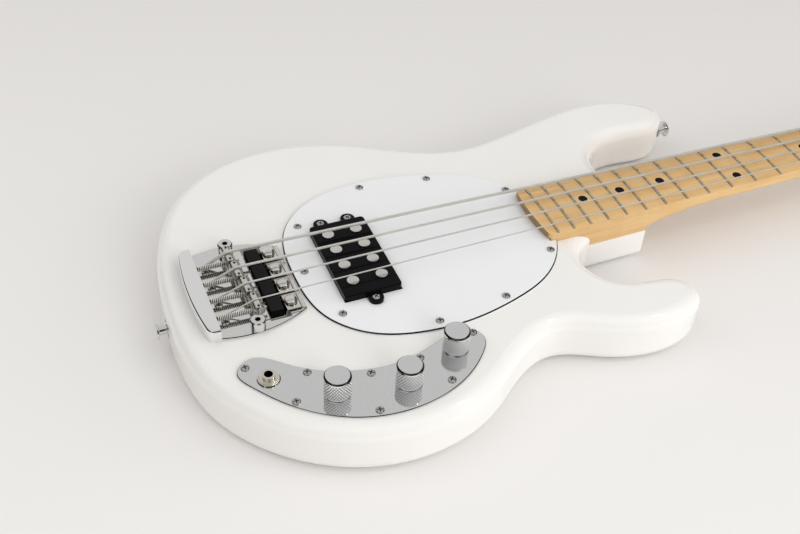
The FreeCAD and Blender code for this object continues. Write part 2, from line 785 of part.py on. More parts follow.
def make_neck():
    half_start = board_half(s.heel_start)
    half_end = board_half(s.tongue_end)
    heel = padded("neck_heel", polygon((
        (s.heel_start, half_start), (s.heel_start, -half_start),
        (s.tongue_end, -half_end), (s.tongue_end, half_end))),
        "sizes.board_top - sizes.board_thickness - sizes.pocket_floor", "sizes.pocket_floor")
    length = head_start - s.tongue_end
    sections = []
    for along, thinned, squareness in SHAFT_STATION_SHARES:
        x = s.tongue_end + length * along
        thin = s.shaft_bottom_heel + (s.shaft_bottom_nut - s.shaft_bottom_heel) * along
        bottom = s.pocket_floor + (thin - s.pocket_floor) * thinned
        sections.append(shaft_section(x, bottom, squareness))
    shaft = shaped("neck_shaft", Part.makeLoft(sections, True, False))

    half_outline = outline_points(HEAD_OUTLINE_SHARES, head_start - s.head_overlap,
                                  s.head_length + s.head_overlap, s.head_width / 2)
    curve = Part.BSplineCurve()
    curve.interpolate([Vector(x, y, 0) for x, y in mirrored_points(half_outline)])
    first, last = half_outline[0], half_outline[0]
    edge = Part.LineSegment(Vector(last[0], -last[1], 0), Vector(first[0], first[1], 0))
    head = padded("headstock", [curve, edge], "sizes.head_thickness", "sizes.head_bottom")
    rounded(head, "sizes.head_edge_radius", lambda item: flat(item)
            and item.BoundBox.XMax > head_start + s.overrun)

    ramp_half = board_half(head_start) - s.tongue_margin
    ramp_end = head_start + s.head_ramp_length
    low = Vector(ramp_end, -ramp_half, head_top)
    high = Vector(head_start, -ramp_half, board_bottom)
    start = Vector(head_start - s.head_overlap, -ramp_half, board_bottom)
    foot = Vector(start.x, -ramp_half, head_top - s.head_overlap)
    toe = Vector(ramp_end, -ramp_half, foot.z)
    along_share, up_share = RAMP_MIDDLE_SHARE
    hollow = Vector(head_start + s.head_ramp_length * along_share, -ramp_half,
                    head_top + (board_bottom - head_top) * up_share)
    side = Part.Face(Part.Wire([Part.Arc(high, hollow, low).toShape(), line(low, toe), line(toe, foot),
                                line(foot, start), line(start, high)]))
    ramp = shaped("head_ramp", side.extrude(ACROSS * (2 * ramp_half)))
    blank = fused("neck_blank", [heel, shaft, head, ramp])

    bores = [Part.makeCylinder(s.rod_radius, s.rod_end - s.rod_start,
                               Vector(s.rod_start, 0, s.rod_height), ALONG)]
    for x, y in neck_screws:
        bores.append(Part.makeCylinder(s.neck_screw_radius, s.neck_screw_top, Vector(x, y, 0)))
    for x, y, side_sign in tuner_places():
        bores.append(Part.makeCylinder(s.bush_radius, s.head_thickness + 2 * s.overrun,
                                       Vector(x, y, s.head_bottom - s.overrun)))
    for x, y, height, way in head_screw_places():
        bores.append(Part.makeCylinder(s.small_screw_radius, s.small_screw_depth, Vector(x, y, height), -way))
    return keep("neck", cut("neck", blank, shaped("neck_bores", Part.makeCompound(bores))))


def head_screw_places():
    """Seats of the retainer's and the tuner housings' screws: x, y, height, outward way."""
    places = []
    retainer_y = s.retainer_spread / 2
    for y in (retainer_y, -retainer_y):
        places.append((head_start + s.retainer_x, y, head_top + s.retainer_height, UP))
    for x, y, side in tuner_places():
        places.append((x + s.housing_shift - s.housing_length / 2 + s.small_screw_head_radius,
                       y - side * (s.housing_width / 2 - s.small_screw_head_radius),
                       s.head_bottom - s.small_screw_head_height, -UP))
    return places


def board_surface():
    """The round block whose top is the crown of the fretboard."""
    crown = doc.addObject("Part::Cylinder", "board_crown")
    crown.setExpression("Radius", "sizes.board_radius")
    crown.setExpression("Height", "sizes.scale_length")
    crown.Placement = at(0, 0, s.board_top - s.board_radius, ALONG)
    doc.recompute()
    return crown


def marker_places():
    """Centres of the position markers."""
    places = []
    for number in SINGLE_MARKERS:
        places.append(((fret_x(number) + fret_x(number - 1)) / 2, 0))
    pair_x = (fret_x(PAIR_MARKER) + fret_x(PAIR_MARKER - 1)) / 2
    places.append((pair_x, s.marker_pair_spread / 2))
    places.append((pair_x, -s.marker_pair_spread / 2))
    return places


def fret_shape(number, crown_too):
    """One fret bent to the crown, or only the slot for its tang."""
    x = fret_x(number)
    base = s.board_top
    tang = s.fret_tang_width / 2
    half = s.fret_width / 2
    deep = base - s.fret_tang_depth
    if crown_too:
        left, right = Vector(x - half, 0, base), Vector(x + half, 0, base)
        crest = Vector(x, 0, base + s.fret_height)
        corners = [right, Vector(x + tang, 0, base), Vector(x + tang, 0, deep),
                   Vector(x - tang, 0, deep), Vector(x - tang, 0, base), left]
        edges = [Part.Arc(left, crest, right).toShape()]
        edges += [line(a, b) for a, b in zip(corners, corners[1:])]
    else:
        high = base + s.fret_height
        corners = [Vector(x - tang, 0, high), Vector(x + tang, 0, high),
                   Vector(x + tang, 0, deep), Vector(x - tang, 0, deep)]
        edges = [line(a, b) for a, b in zip(corners, corners[1:] + corners[:1])]
    reach = board_half(x) - s.fret_inset
    angle = math.degrees(math.asin(reach / s.board_radius))
    face = Part.Face(Part.Wire(edges))
    centre = Vector(0, 0, s.board_top - s.board_radius)
    face.rotate(centre, ALONG, -angle)
    return face.revolve(centre, ALONG, 2 * angle)


def make_fretboard():
    end_half = board_half(s.board_end)
    corner_x = s.board_end + s.board_end_bow
    nut_half = board_half(s.scale_length)
    low, high = Vector(corner_x, -end_half, 0), Vector(corner_x, end_half, 0)
    nut_low, nut_high = Vector(s.scale_length, -nut_half, 0), Vector(s.scale_length, nut_half, 0)
    curves = [Part.Arc(high, Vector(s.board_end, 0, 0), low), Part.LineSegment(low, nut_low),
              Part.LineSegment(nut_low, nut_high), Part.LineSegment(nut_high, high)]
    blank = padded("board_blank", curves, "sizes.board_thickness", "sizes.board_top - sizes.board_thickness")
    rounded(blank, "sizes.board_corner_radius",
            lambda edge: upright(edge) and edge.BoundBox.XMax < s.heel_start)
    crowned = doc.addObject("Part::Common", "board_crowned")
    crowned.Base = blank
    crowned.Tool = board_surface()
    doc.recompute()
    cuts = [fret_shape(number, False) for number in range(1, FRET_COUNT + 1)]
    for x, y in marker_places():
        cuts.append(Part.makeCylinder(s.marker_radius, s.marker_depth + s.overrun,
                                      Vector(x, y, marker_floor(y))))
    keep("fretboard", cut("fretboard", crowned, shaped("board_slots", Part.makeCompound(cuts))))

    frets = [fret_shape(number, True) for number in range(1, FRET_COUNT + 1)]
    keep("frets", shaped("frets", Part.makeCompound(frets)))

    crown = doc.getObject("board_crown").Shape
    dots = []
    for x, y in marker_places():
        peg = Part.makeCylinder(s.marker_radius, s.marker_depth + s.overrun, Vector(x, y, marker_floor(y)))
        dots.append(peg.common(crown))
    keep("position_markers", shaped("position_markers", Part.makeCompound(dots)))


def marker_floor(y):
    """Height of the flat bottom of a marker hole."""
    return s.board_top - s.board_radius + math.sqrt(s.board_radius ** 2 - y ** 2) - s.marker_depth


def make_nut():
    nut = doc.addObject("Part::Box", "nut_blank")
    nut.setExpression("Length", "sizes.nut_thickness")
    nut.setExpression("Width", "sizes.nut_width")
    nut.setExpression("Height", "sizes.nut_top - (sizes.board_top - sizes.board_thickness)")
    nut.Placement = at(s.scale_length, -s.nut_width / 2, board_bottom)
    slots = []
    for y, radius in zip(nut_lines, string_radii):
        wide = radius + s.string_gap
        slot = Part.makeBox(s.nut_thickness + 2 * s.overrun, 2 * wide, s.overrun,
                            Vector(s.scale_length - s.overrun, y - wide, s.nut_slot_floor + radius))
        groove = Part.makeCylinder(wide, s.nut_thickness + 2 * s.overrun,
                                   Vector(s.scale_length - s.overrun, y, s.nut_slot_floor + radius), ALONG)
        slots.append(slot.fuse(groove))
    keep("nut", cut("nut", nut, shaped("nut_slots", Part.makeCompound(slots))))


def make_neck_fixing():
    keep("truss_rod", rod("truss_rod", "sizes.rod_radius", "sizes.rod_end - sizes.rod_start",
                          at(s.rod_start, 0, s.rod_height, ALONG)))
    curves = rectangle(s.neck_plate_start, -s.neck_plate_width / 2, neck_plate_end, s.neck_plate_width / 2)
    blank = padded("neck_plate_blank", curves, "sizes.neck_plate_thickness")
    sinks = []
    for x, y in neck_screws:
        sinks.append(Part.makeCone(s.neck_screw_head_radius, s.neck_screw_radius, s.neck_plate_thickness,
                                   Vector(x, y, 0)))
    keep("neck_plate", cut("neck_plate", blank, shaped("neck_plate_sinks", Part.makeCompound(sinks))))
    screw = turned("neck_screw", ((0, 0), (s.neck_screw_head_radius, 0),
                                  (s.neck_screw_radius, s.neck_plate_thickness),
                                  (s.neck_screw_radius, s.neck_screw_top), (0, s.neck_screw_top)))
    keep("neck_screws", repeated("neck_screws", screw, [at(x, y, 0) for x, y in neck_screws]))


# Pickguard and pickup
def make_guard():
    half = outline_points(GUARD_OUTLINE_SHARES, s.guard_tail, s.guard_length, s.guard_width / 2)
    blank = padded("guard_blank", closed_curve(mirrored_points(half)), "sizes.guard_thickness",
                   "sizes.body_thickness")
    bevelled(blank, "sizes.guard_bevel", lambda edge: flat(edge) and edge.BoundBox.ZMin > top)
    past = s.guard_tail + s.guard_length + s.overrun
    start = s.heel_start - s.guard_gap
    wide_start = board_half(start) + s.guard_gap
    wide_end = board_half(past) + s.guard_gap
    notch = Part.Face(Part.makePolygon([
        Vector(start, wide_start, top), Vector(start, -wide_start, top),
        Vector(past, -wide_end, top), Vector(past, wide_end, top), Vector(start, wide_start, top)]))
    half_length = s.pickup_length / 2 + s.guard_gap
    half_width = s.pickup_width / 2 + s.guard_gap
    window = Part.makeBox(2 * half_length, 2 * half_width, s.overrun,
                          Vector(s.pickup_centre - half_length, -half_width, top))
    tools = [notch.extrude(UP * s.overrun), window]
    for x, y in guard_screws + ear_screws:
        tools.append(Part.makeCylinder(s.small_screw_radius, s.overrun, Vector(x, y, top)))
    keep("pickguard", cut("pickguard", blank, shaped("guard_cuts", Part.makeCompound(tools))))


def pole_places():
    """Centres of the pole faces."""
    return [(s.pickup_centre + side * s.pole_spread / 2, s.pole_pitch * (1.5 - index))
            for side in (-1, 1) for index in range(4)]


def make_pickup():
    half_length = s.pickup_length / 2
    half_width = s.pickup_width / 2
    shell = padded("pickup_shell", rectangle(s.pickup_centre - half_length, -half_width,
                                             s.pickup_centre + half_length, half_width),
                   "sizes.pickup_top - sizes.pickup_bottom", "sizes.pickup_bottom")
    rounded(shell, "sizes.pickup_corner", upright)
    rounded(shell, "sizes.pickup_edge", lambda edge: flat(edge) and edge.BoundBox.ZMin > guard_top)
    ears = []
    for x, y in ear_screws:
        inner = math.copysign(half_width - s.pickup_wall, y)
        ear = Part.makeCylinder(s.ear_radius, s.ear_thickness, Vector(x, y, guard_top))
        arm = Part.makeBox(2 * s.ear_radius, abs(y - inner), s.ear_thickness,
                           Vector(x - s.ear_radius, min(y, inner), guard_top))
        ears.append(ear.fuse(arm))
    whole = fused("pickup_blank", [shell, shaped("pickup_ears", Part.makeCompound(ears))])
    wall = s.pickup_wall
    inside = Part.makeBox(s.pickup_length - 2 * wall, s.pickup_width - 2 * wall,
                          s.pickup_top - wall - s.pickup_bottom + s.overrun,
                          Vector(s.pickup_centre - half_length + wall, wall - half_width,
                                 s.pickup_bottom - s.overrun))
    hollow = cut("pickup_hollow", whole, shaped("pickup_inside", inside))
    holes = [Part.makeCylinder(s.pole_radius, 2 * s.overrun, Vector(x, y, s.pickup_top - s.overrun))
             for x, y in pole_places()]
    holes += [Part.makeCylinder(s.small_screw_radius, s.overrun, Vector(x, y, guard_top)) for x, y in ear_screws]
    keep("pickup_cover", cut("pickup_cover", hollow, shaped("pickup_holes", Part.makeCompound(holes))))

    coil_floor = top - s.cavity_depth
    pole = rod("pole", "sizes.pole_radius",
               "sizes.pickup_top + sizes.pole_rise - sizes.body_thickness + sizes.cavity_depth",
               Placement())
    keep("pickup_poles", repeated("pickup_poles", pole, [at(x, y, coil_floor) for x, y in pole_places()]))
    coil_top = s.pickup_top - s.pickup_wall - s.coil_clearance
    coils = []
    for side in (-1, 1):
        x = s.pickup_centre + side * s.pole_spread / 2
        wide = s.pole_radius + s.coil_margin
        reach = s.pole_pitch * 1.5
        block = Part.makeBox(2 * wide, 2 * reach, coil_top - coil_floor, Vector(x - wide, -reach, coil_floor))
        for y in (reach, -reach):
            block = block.fuse(Part.makeCylinder(wide, coil_top - coil_floor, Vector(x, y, coil_floor)))
        for pole_x, pole_y in pole_places():
            block = block.cut(Part.makeCylinder(s.pole_radius, s.pickup_top, Vector(pole_x, pole_y, 0)))
        coils.append(block.removeSplitter())
    keep("pickup_coils", shaped("pickup_coils", Part.makeCompound(coils)))


# Control plate, knobs, jack and electronics
def make_controls():
    points = [plate_point(share) for share in PLATE_OUTLINE_SHARES]
    blank = padded("control_plate_blank", closed_curve(points), "sizes.plate_thickness",
                   "sizes.body_thickness")
    bevelled(blank, "sizes.plate_edge", lambda edge: flat(edge) and edge.BoundBox.ZMin > plate_top - TOUCH)
    tools = [Part.makeCylinder(s.small_screw_radius, s.overrun, Vector(x, y, top)) for x, y in plate_screws]
    tools += [Part.makeCylinder(s.pot_bush_radius, s.overrun, Vector(x, y, top)) for x, y in knob_places]
    tools.append(Part.makeCylinder(s.jack_bush_radius, s.overrun, Vector(*jack_place, top)))
    keep("control_plate", cut("control_plate", blank, shaped("plate_holes", Part.makeCompound(tools))))

    bore = s.shaft_radius + s.shaft_clearance
    shaft_floor = -s.pot_height * 0.6
    bush_top = s.plate_thickness + s.pot_bush_rise
    nut_top = s.plate_thickness + s.pot_nut_height
    pot = turned("pot", (
        (0, -s.pot_height), (s.pot_radius, -s.pot_height), (s.pot_radius, 0), (s.pot_bush_radius, 0),
        (s.pot_bush_radius, s.plate_thickness), (s.pot_nut_radius, s.plate_thickness),
        (s.pot_nut_radius, nut_top), (s.pot_bush_radius, nut_top), (s.pot_bush_radius, bush_top),
        (bore, bush_top), (bore, shaft_floor), (0, shaft_floor)))
    keep("potentiometers", repeated("potentiometers", pot, [at(x, y, top) for x, y in knob_places]))

    base = s.knob_lift
    high = base + s.knob_height
    groove = base + s.knob_groove_height
    inner = s.knob_radius - s.knob_groove_depth
    roof = base + s.knob_skirt_depth
    knob = turned("knob", (
        (s.knob_skirt_radius, base), (s.knob_radius, base), (s.knob_radius, groove), (inner, groove),
        (inner, groove + s.knob_groove_width), (s.knob_radius, groove + s.knob_groove_width),
        (s.knob_radius, high - s.knob_chamfer), (s.knob_radius - s.knob_chamfer, high), (0, high),
        (0, roof + s.shaft_grip), (s.shaft_radius, roof + s.shaft_grip), (s.shaft_radius, roof),
        (s.knob_skirt_radius, roof)))
    shaft_low = shaft_floor + s.shaft_clearance - s.plate_thickness
    spindle = turned("knob_shaft", (
        (0, shaft_low), (s.shaft_radius, shaft_low), (s.shaft_radius, roof + s.shaft_grip),
        (0, roof + s.shaft_grip)))
    for node, (x, y) in zip(KNOB_NAMES, knob_places):
        place = at(x, y, plate_top)
        pair = [repeated(node + "_cap", knob, [place]), repeated(node + "_shaft", spindle, [place])]
        keep(node, grouped(node, pair))

    rise = s.plate_thickness + s.jack_rise
    floor = rise - s.jack_bore_depth
    flange = s.plate_thickness + s.jack_flange_height
    collar = turned("jack_collar", (
        (s.jack_bore_radius, rise), (s.jack_bore_radius, floor), (0, floor), (0, floor - s.jack_base),
        (s.jack_body_radius, floor - s.jack_base), (s.jack_body_radius, 0), (s.jack_bush_radius, 0),
        (s.jack_bush_radius, rise)), at(*jack_place, top))
    sides = 6
    hexagon = [(jack_place[0] + s.jack_nut_radius * math.cos(math.pi * (2 * i + 1) / sides),
                jack_place[1] + s.jack_nut_radius * math.sin(math.pi * (2 * i + 1) / sides))
               for i in range(sides)]
    nut = padded("jack_nut", polygon(hexagon) + [circle(*jack_place, s.jack_bush_radius)],
                 "sizes.jack_nut_height",
                 "sizes.body_thickness + sizes.plate_thickness + sizes.jack_flange_height")
    washer = turned("jack_washer", (
        (s.jack_bush_radius, s.plate_thickness), (s.jack_flange_radius, s.plate_thickness),
        (s.jack_bush_radius + (s.jack_flange_radius - s.jack_bush_radius) * 0.8, flange),
        (s.jack_bush_radius, flange)), at(*jack_place, top))
    keep("output_jack", grouped("output_jack", [collar, washer, nut]))

    cavity_floor = top - s.control_cavity_depth
    card_x = (knob_places[0][0] + knob_places[1][0]) / 2
    card_y = knob_places[0][1] + (knob_places[1][1] - knob_places[0][1]) * CARD_SHARE
    card = doc.addObject("Part::Box", "preamp_board")
    card.setExpression("Length", "sizes.board_card_length")
    card.setExpression("Width", "sizes.board_card_width")
    card.setExpression("Height", "sizes.board_card_thickness")
    card.Placement = at(card_x - s.board_card_length / 2, card_y - s.board_card_width / 2,
                        top - s.pot_height - s.board_card_thickness)
    keep("preamp_board", card)
    battery = doc.addObject("Part::Box", "battery")
    battery.setExpression("Length", "sizes.battery_length")
    battery.setExpression("Width", "sizes.battery_width")
    battery.setExpression("Height", "sizes.battery_height")
    battery.Placement = at(card_x - s.battery_length / 2, card_y - s.battery_width / 2, cavity_floor)
    keep("battery", battery)


# Bridge
def bridge_outline():
    """Plan of the base plate in front of the hood: straight front and bowed sides."""
    front = s.bridge_front
    rear = s.hood_front
    half_front = s.bridge_front_width / 2
    half_wide = s.bridge_widest / 2
    half_rear = s.hood_width / 2
    a, b = Vector(front, -half_front, 0), Vector(front, half_front, 0)
    c, d = Vector(rear, half_rear, 0), Vector(rear, -half_rear, 0)
    middle_x = (front + rear) / 2 - s.hood_depth / 2
    return [Part.LineSegment(a, b), Part.Arc(b, Vector(middle_x, half_wide, 0), c), Part.LineSegment(c, d),
            Part.Arc(d, Vector(middle_x, -half_wide, 0), a)]


def hood_block(name, inset, floor_level, height):
    """A block with the hood's plan, round at its tail corners and drawn in by an inset."""
    half = s.hood_width / 2 - inset
    front = s.hood_front - inset
    corner = s.hood_front - s.hood_depth + inset
    middle = Vector(corner - s.hood_bow, 0, 0)
    a, b = Vector(front, half, 0), Vector(front, -half, 0)
    c, d = Vector(corner, -half, 0), Vector(corner, half, 0)
    block = padded(name, [Part.LineSegment(a, b), Part.LineSegment(b, c), Part.Arc(c, middle, d),
                          Part.LineSegment(d, a)], height, floor_level)
    return rounded(block, f"sizes.hood_end_round - {inset}", lambda edge: upright(edge)
                   and edge.BoundBox.XMax < corner + TOUCH)


def string_lift(index):
    """Where a string turns out of its hole, and where its two straight runs meet over the saddle."""
    y = string_lines[index]
    contact = groove_radius + string_radii[index] + s.string_gap
    start = Vector(s.string_hole_x, y + s.string_hole_shift, bridge_top + s.string_hole_rise)
    rise = s.saddle_height - start.z
    run = saddle_xs[index] - start.x
    slope = math.atan2(rise, run) + math.asin(contact / math.hypot(rise, run))
    crest = s.saddle_height + contact
    return start, Vector(start.x + (crest - start.z) / math.tan(slope), y, crest)


def make_bridge():
    window = rectangle(s.mute_window_rear, -s.mute_window_width / 2, s.mute_window_front,
                       s.mute_window_width / 2)
    base = padded("bridge_base", bridge_outline() + window, "sizes.bridge_thickness",
                  "sizes.body_thickness")
    bevelled(base, "sizes.plate_edge", lambda edge: flat(edge) and edge.BoundBox.ZMin > bridge_top - TOUCH
             and edge.BoundBox.XMax > s.bridge_front - TOUCH)
    hood = hood_block("hood_outer", 0, "sizes.body_thickness + sizes.bridge_thickness",
                      "sizes.hood_top - sizes.body_thickness - sizes.bridge_thickness")
    rounded(hood, "sizes.hood_round", lambda edge: flat(edge) and edge.BoundBox.ZMin > bridge_top
            and edge.BoundBox.XLength > TOUCH)
    inner = hood_block("hood_inner", s.hood_wall, "sizes.body_thickness + sizes.bridge_thickness",
                       "sizes.hood_top - sizes.body_thickness - sizes.bridge_thickness - sizes.hood_wall")
    rounded(inner, "sizes.hood_round - sizes.hood_wall", lambda edge: flat(edge)
            and edge.BoundBox.ZMin > bridge_top and edge.BoundBox.XLength > TOUCH)
    shell = cut("hood_shell", hood, inner)
    under = hood_block("hood_floor", 0, "sizes.body_thickness", "sizes.bridge_thickness")
    whole = fused("bridge_blank", [base, under, shell])
    tools = [Part.makeCylinder(s.small_screw_radius, s.overrun, Vector(x, y, top)) for x, y in bridge_screws]
    tools += [Part.makeCylinder(s.bolt_shank_radius, s.overrun, Vector(x, y, top)) for x, y in bolt_places]
    for y in string_lines:
        tools.append(Part.makeCylinder(s.mute_screw_radius + s.running_clearance, s.overrun,
                                       Vector(s.mute_screw_x, y, top)))
        tools.append(Part.makeCylinder(s.screw_radius + s.running_clearance, 2 * s.overrun,
                                       Vector(s.hood_front - s.overrun, y + s.screw_shift, s.screw_height),
                                       ALONG))
    for index, radius in enumerate(string_radii):
        start, apex = string_lift(index)
        tools.append(Part.makeCylinder(radius + s.string_hole_gap, s.overrun, Vector(start.x, start.y, top)))
    keep("bridge_plate", cut("bridge_plate", whole, shaped("bridge_holes", Part.makeCompound(tools))))

    floor = bridge_top - s.bolt_shank_depth
    bolt = turned("bridge_bolt", (
        (0, floor), (s.bolt_shank_radius, floor), (s.bolt_shank_radius, bridge_top),
        (s.bolt_radius, bridge_top), (s.bolt_radius, s.bolt_top - s.bolt_chamfer),
        (s.bolt_radius - s.bolt_chamfer, s.bolt_top), (0, s.bolt_top)))
    sides = 6
    socket = [(s.bolt_socket_radius * math.cos(2 * math.pi * i / sides),
               s.bolt_socket_radius * math.sin(2 * math.pi * i / sides)) for i in range(sides)]
    key_way = padded("bolt_socket", polygon(socket), "sizes.bolt_socket_depth",
                     "sizes.bolt_top - sizes.bolt_socket_depth")
    bolt = cut("bridge_bolt_finished", bolt, key_way)
    keep("bridge_bolts", repeated("bridge_bolts", bolt, [at(x, y, 0) for x, y in bolt_places]))
    screw = doc.getObject("small_screw")
    keep("bridge_screws", repeated("bridge_screws", screw, [at(x, y, bridge_top) for x, y in bridge_screws]))


def make_saddles():
    edge = s.saddle_edge
    half = s.saddle_length / 2
    outer = s.saddle_radius
    for index, (x, y, radius) in enumerate(zip(saddle_xs, string_lines, string_radii), start=1):
        wide = radius + s.string_gap
        barrel = turned(f"saddle_barrel_{index}", (
            (0, -half), (outer - edge, -half), (outer, edge - half), (outer, -wide - s.saddle_groove_depth),
            (groove_radius, -wide), (groove_radius, wide), (outer, wide + s.saddle_groove_depth),
            (outer, half - edge), (outer - edge, half), (0, half)),
            at(x, y, s.saddle_height, ACROSS))
        bores = [Part.makeCylinder(s.screw_radius + s.running_clearance, 2 * (outer + s.overrun),
                                   Vector(x - outer - s.overrun, y + s.screw_shift, s.screw_height), ALONG)]
        grubs = []
        grub_low = bridge_top + s.seat_gap
        grub_top = s.saddle_height + outer - s.grub_sink
        for side in (1, -1):
            grub_y = y + side * s.grub_spread / 2
            bores.append(Part.makeCylinder(s.grub_radius, 2 * (outer + s.overrun),
                                           Vector(x, grub_y, s.saddle_height - outer - s.overrun)))
            grub = Part.makeCylinder(s.grub_radius, grub_top - grub_low, Vector(x, grub_y, grub_low))
            socket = Part.makeCylinder(s.grub_socket_radius, s.grub_socket_depth + s.overrun,
                                       Vector(x, grub_y, grub_top - s.grub_socket_depth))
            grubs.append(grub.cut(socket))
        bored = cut(f"saddle_bored_{index}", barrel,
                    shaped(f"saddle_bores_{index}", Part.makeCompound(bores)))
        pegs = shaped(f"saddle_grubs_{index}", Part.makeCompound(grubs))
        keep(f"saddle_{index}", grouped(f"saddle_{index}", [bored, pegs]))

        head = s.hood_front - s.hood_wall - s.seat_gap
        tip = x + s.screw_tip
        screw = turned(f"intonation_screw_{index}", (
            (0, head - s.screw_head_length), (s.screw_head_radius, head - s.screw_head_length),
            (s.screw_head_radius, head), (s.screw_radius, head), (s.screw_radius, tip - s.screw_radius / 2),
            (s.screw_radius / 2, tip), (0, tip)), at(0, y + s.screw_shift, s.screw_height, ALONG))
        keep(f"intonation_screw_{index}", screw)


def helix_edges(origin, axis, across, radius, start_angle, turns, pitch, steps_per_turn=2):
    """Biarcs of a helix about an axis, each of one step of a turn."""
    other = axis.cross(across)
    steps = max(1, round(abs(turns) * steps_per_turn))
    slope = pitch / (2 * math.pi)
    sense = math.copysign(1, turns)

    def place(angle):
        spin = start_angle + sense * angle
        out = across * math.cos(spin) + other * math.sin(spin)
        way = (other * math.cos(spin) - across * math.sin(spin)) * (sense * radius) + axis * slope
        return origin + out * radius + axis * (slope * angle), way.normalize()

    edges = []
    total = abs(turns) * 2 * math.pi
    for step in range(steps):
        start, start_way = place(total * step / steps)
        end, end_way = place(total * (step + 1) / steps)
        edges += biarc(start, start_way, end, end_way)
    return edges


def least_gap(edges, radius, pitch_length):
    """Least clear gap between parts of a tube that lie further apart along it than a given length."""
    points = []
    travelled = 0.0
    for edge in edges:
        samples = 6
        for k in range(samples):
            share = k / samples
            parameter = edge.FirstParameter + (edge.LastParameter - edge.FirstParameter) * share
            points.append((travelled + edge.Length * share, edge.valueAt(parameter)))
        travelled += edge.Length
    best = None
    for i, (run, point) in enumerate(points):
        for other_run, other in points[i + 1:]:
            if other_run - run > pitch_length:
                gap = point.distanceToPoint(other) - 2 * radius
                best = gap if best is None else min(best, gap)
    return best


def make_springs():
    springs = []
    for x, y in zip(saddle_xs, string_lines):
        start = s.hood_front + s.spring_wire_radius + s.seat_gap
        end = x - s.saddle_radius - s.spring_wire_radius - s.seat_gap
        turns = round((end - start) / s.spring_pitch * 2) / 2
        pitch = (end - start) / turns
        edges = helix_edges(Vector(start, y + s.screw_shift, s.screw_height), ALONG, UP, s.spring_radius,
                            0, turns, pitch)
        coil = tube(edges, s.spring_wire_radius)
        print(f"spring of {turns} turns: least gap to itself",
              round(least_gap(edges, s.spring_wire_radius, math.pi * s.spring_radius), 2))
        springs.append(coil)
    keep("intonation_springs", shaped("intonation_springs", Part.makeCompound(springs)))


def make_mutes():
    leaf_low = bridge_top + s.leaf_rise
    thick = s.leaf_thickness
    front, foot = s.leaf_front, s.leaf_front - s.leaf_foot
    shelf, drop = s.leaf_shelf_end, s.leaf_drop_x
    rear = s.mute_pad_front - s.mute_pad_length
    profile = ((front, bridge_top), (front, bridge_top + thick), (foot, bridge_top + thick),
               (foot - s.leaf_rise, leaf_low + thick), (shelf, leaf_low + thick), (drop, s.leaf_tongue + thick),
               (rear, s.leaf_tongue + thick), (rear, s.leaf_tongue), (drop + thick, s.leaf_tongue),
               (shelf + thick, leaf_low), (foot - s.leaf_rise, leaf_low), (foot, bridge_top))
    leaves = []
    for index, y in enumerate(string_lines, start=1):
        corners = [Vector(x, y - s.leaf_width / 2, z) for x, z in profile]
        leaf = Part.Face(Part.makePolygon(corners + corners[:1])).extrude(ACROSS * s.leaf_width)
        hole = Part.makeCylinder(s.leaf_hole_radius, s.overrun, Vector(s.mute_screw_x, y, bridge_top))
        leaves.append(leaf.cut(hole))

        pad_rear = s.mute_pad_front - s.mute_pad_length
        pad = padded(f"mute_pad_{index}", rectangle(
            pad_rear, y - s.mute_pad_width / 2, s.mute_pad_front, y + s.mute_pad_width / 2),
            "sizes.mute_pad_top - sizes.leaf_tongue - sizes.leaf_thickness - sizes.seat_gap",
            "sizes.leaf_tongue + sizes.leaf_thickness + sizes.seat_gap")
        bevelled(pad, "sizes.mute_pad_edge", lambda edge: flat(edge) and edge.BoundBox.ZMin > bridge_top)
        keep(f"mute_pad_{index}", pad)

        seat = leaf_low + thick + s.seat_gap
        rim = seat + s.mute_head_rim
        crown = seat + s.mute_head_height
        low = bridge_top - s.mute_screw_depth
        wide = s.mute_head_radius
        screw = turned(f"mute_screw_{index}", (
            (0, low), (s.mute_screw_radius, low), (s.mute_screw_radius, seat), (wide * 0.9, seat),
            (wide, seat + s.mute_head_rim / 2), (wide, rim), (wide * 0.93, rim + (crown - rim) * 0.4),
            (wide * 0.75, rim + (crown - rim) * 0.75), (wide * 0.4, crown - (crown - rim) * 0.06), (0, crown)),
            at(s.mute_screw_x, y, 0))
        keep(f"mute_screw_{index}", screw)
    keep("mute_springs", shaped("mute_springs", Part.makeCompound(leaves)))


# Strings and tuners
def slope_under(x, z, centre_x, centre_z, radius):
    """Slope of the line from a point that passes just under a bar."""
    run = abs(centre_x - x)
    fall = math.atan2(centre_z - z, run) - math.asin(radius / math.hypot(run, centre_z - z))
    return math.tan(fall) * math.copysign(1, centre_x - x)


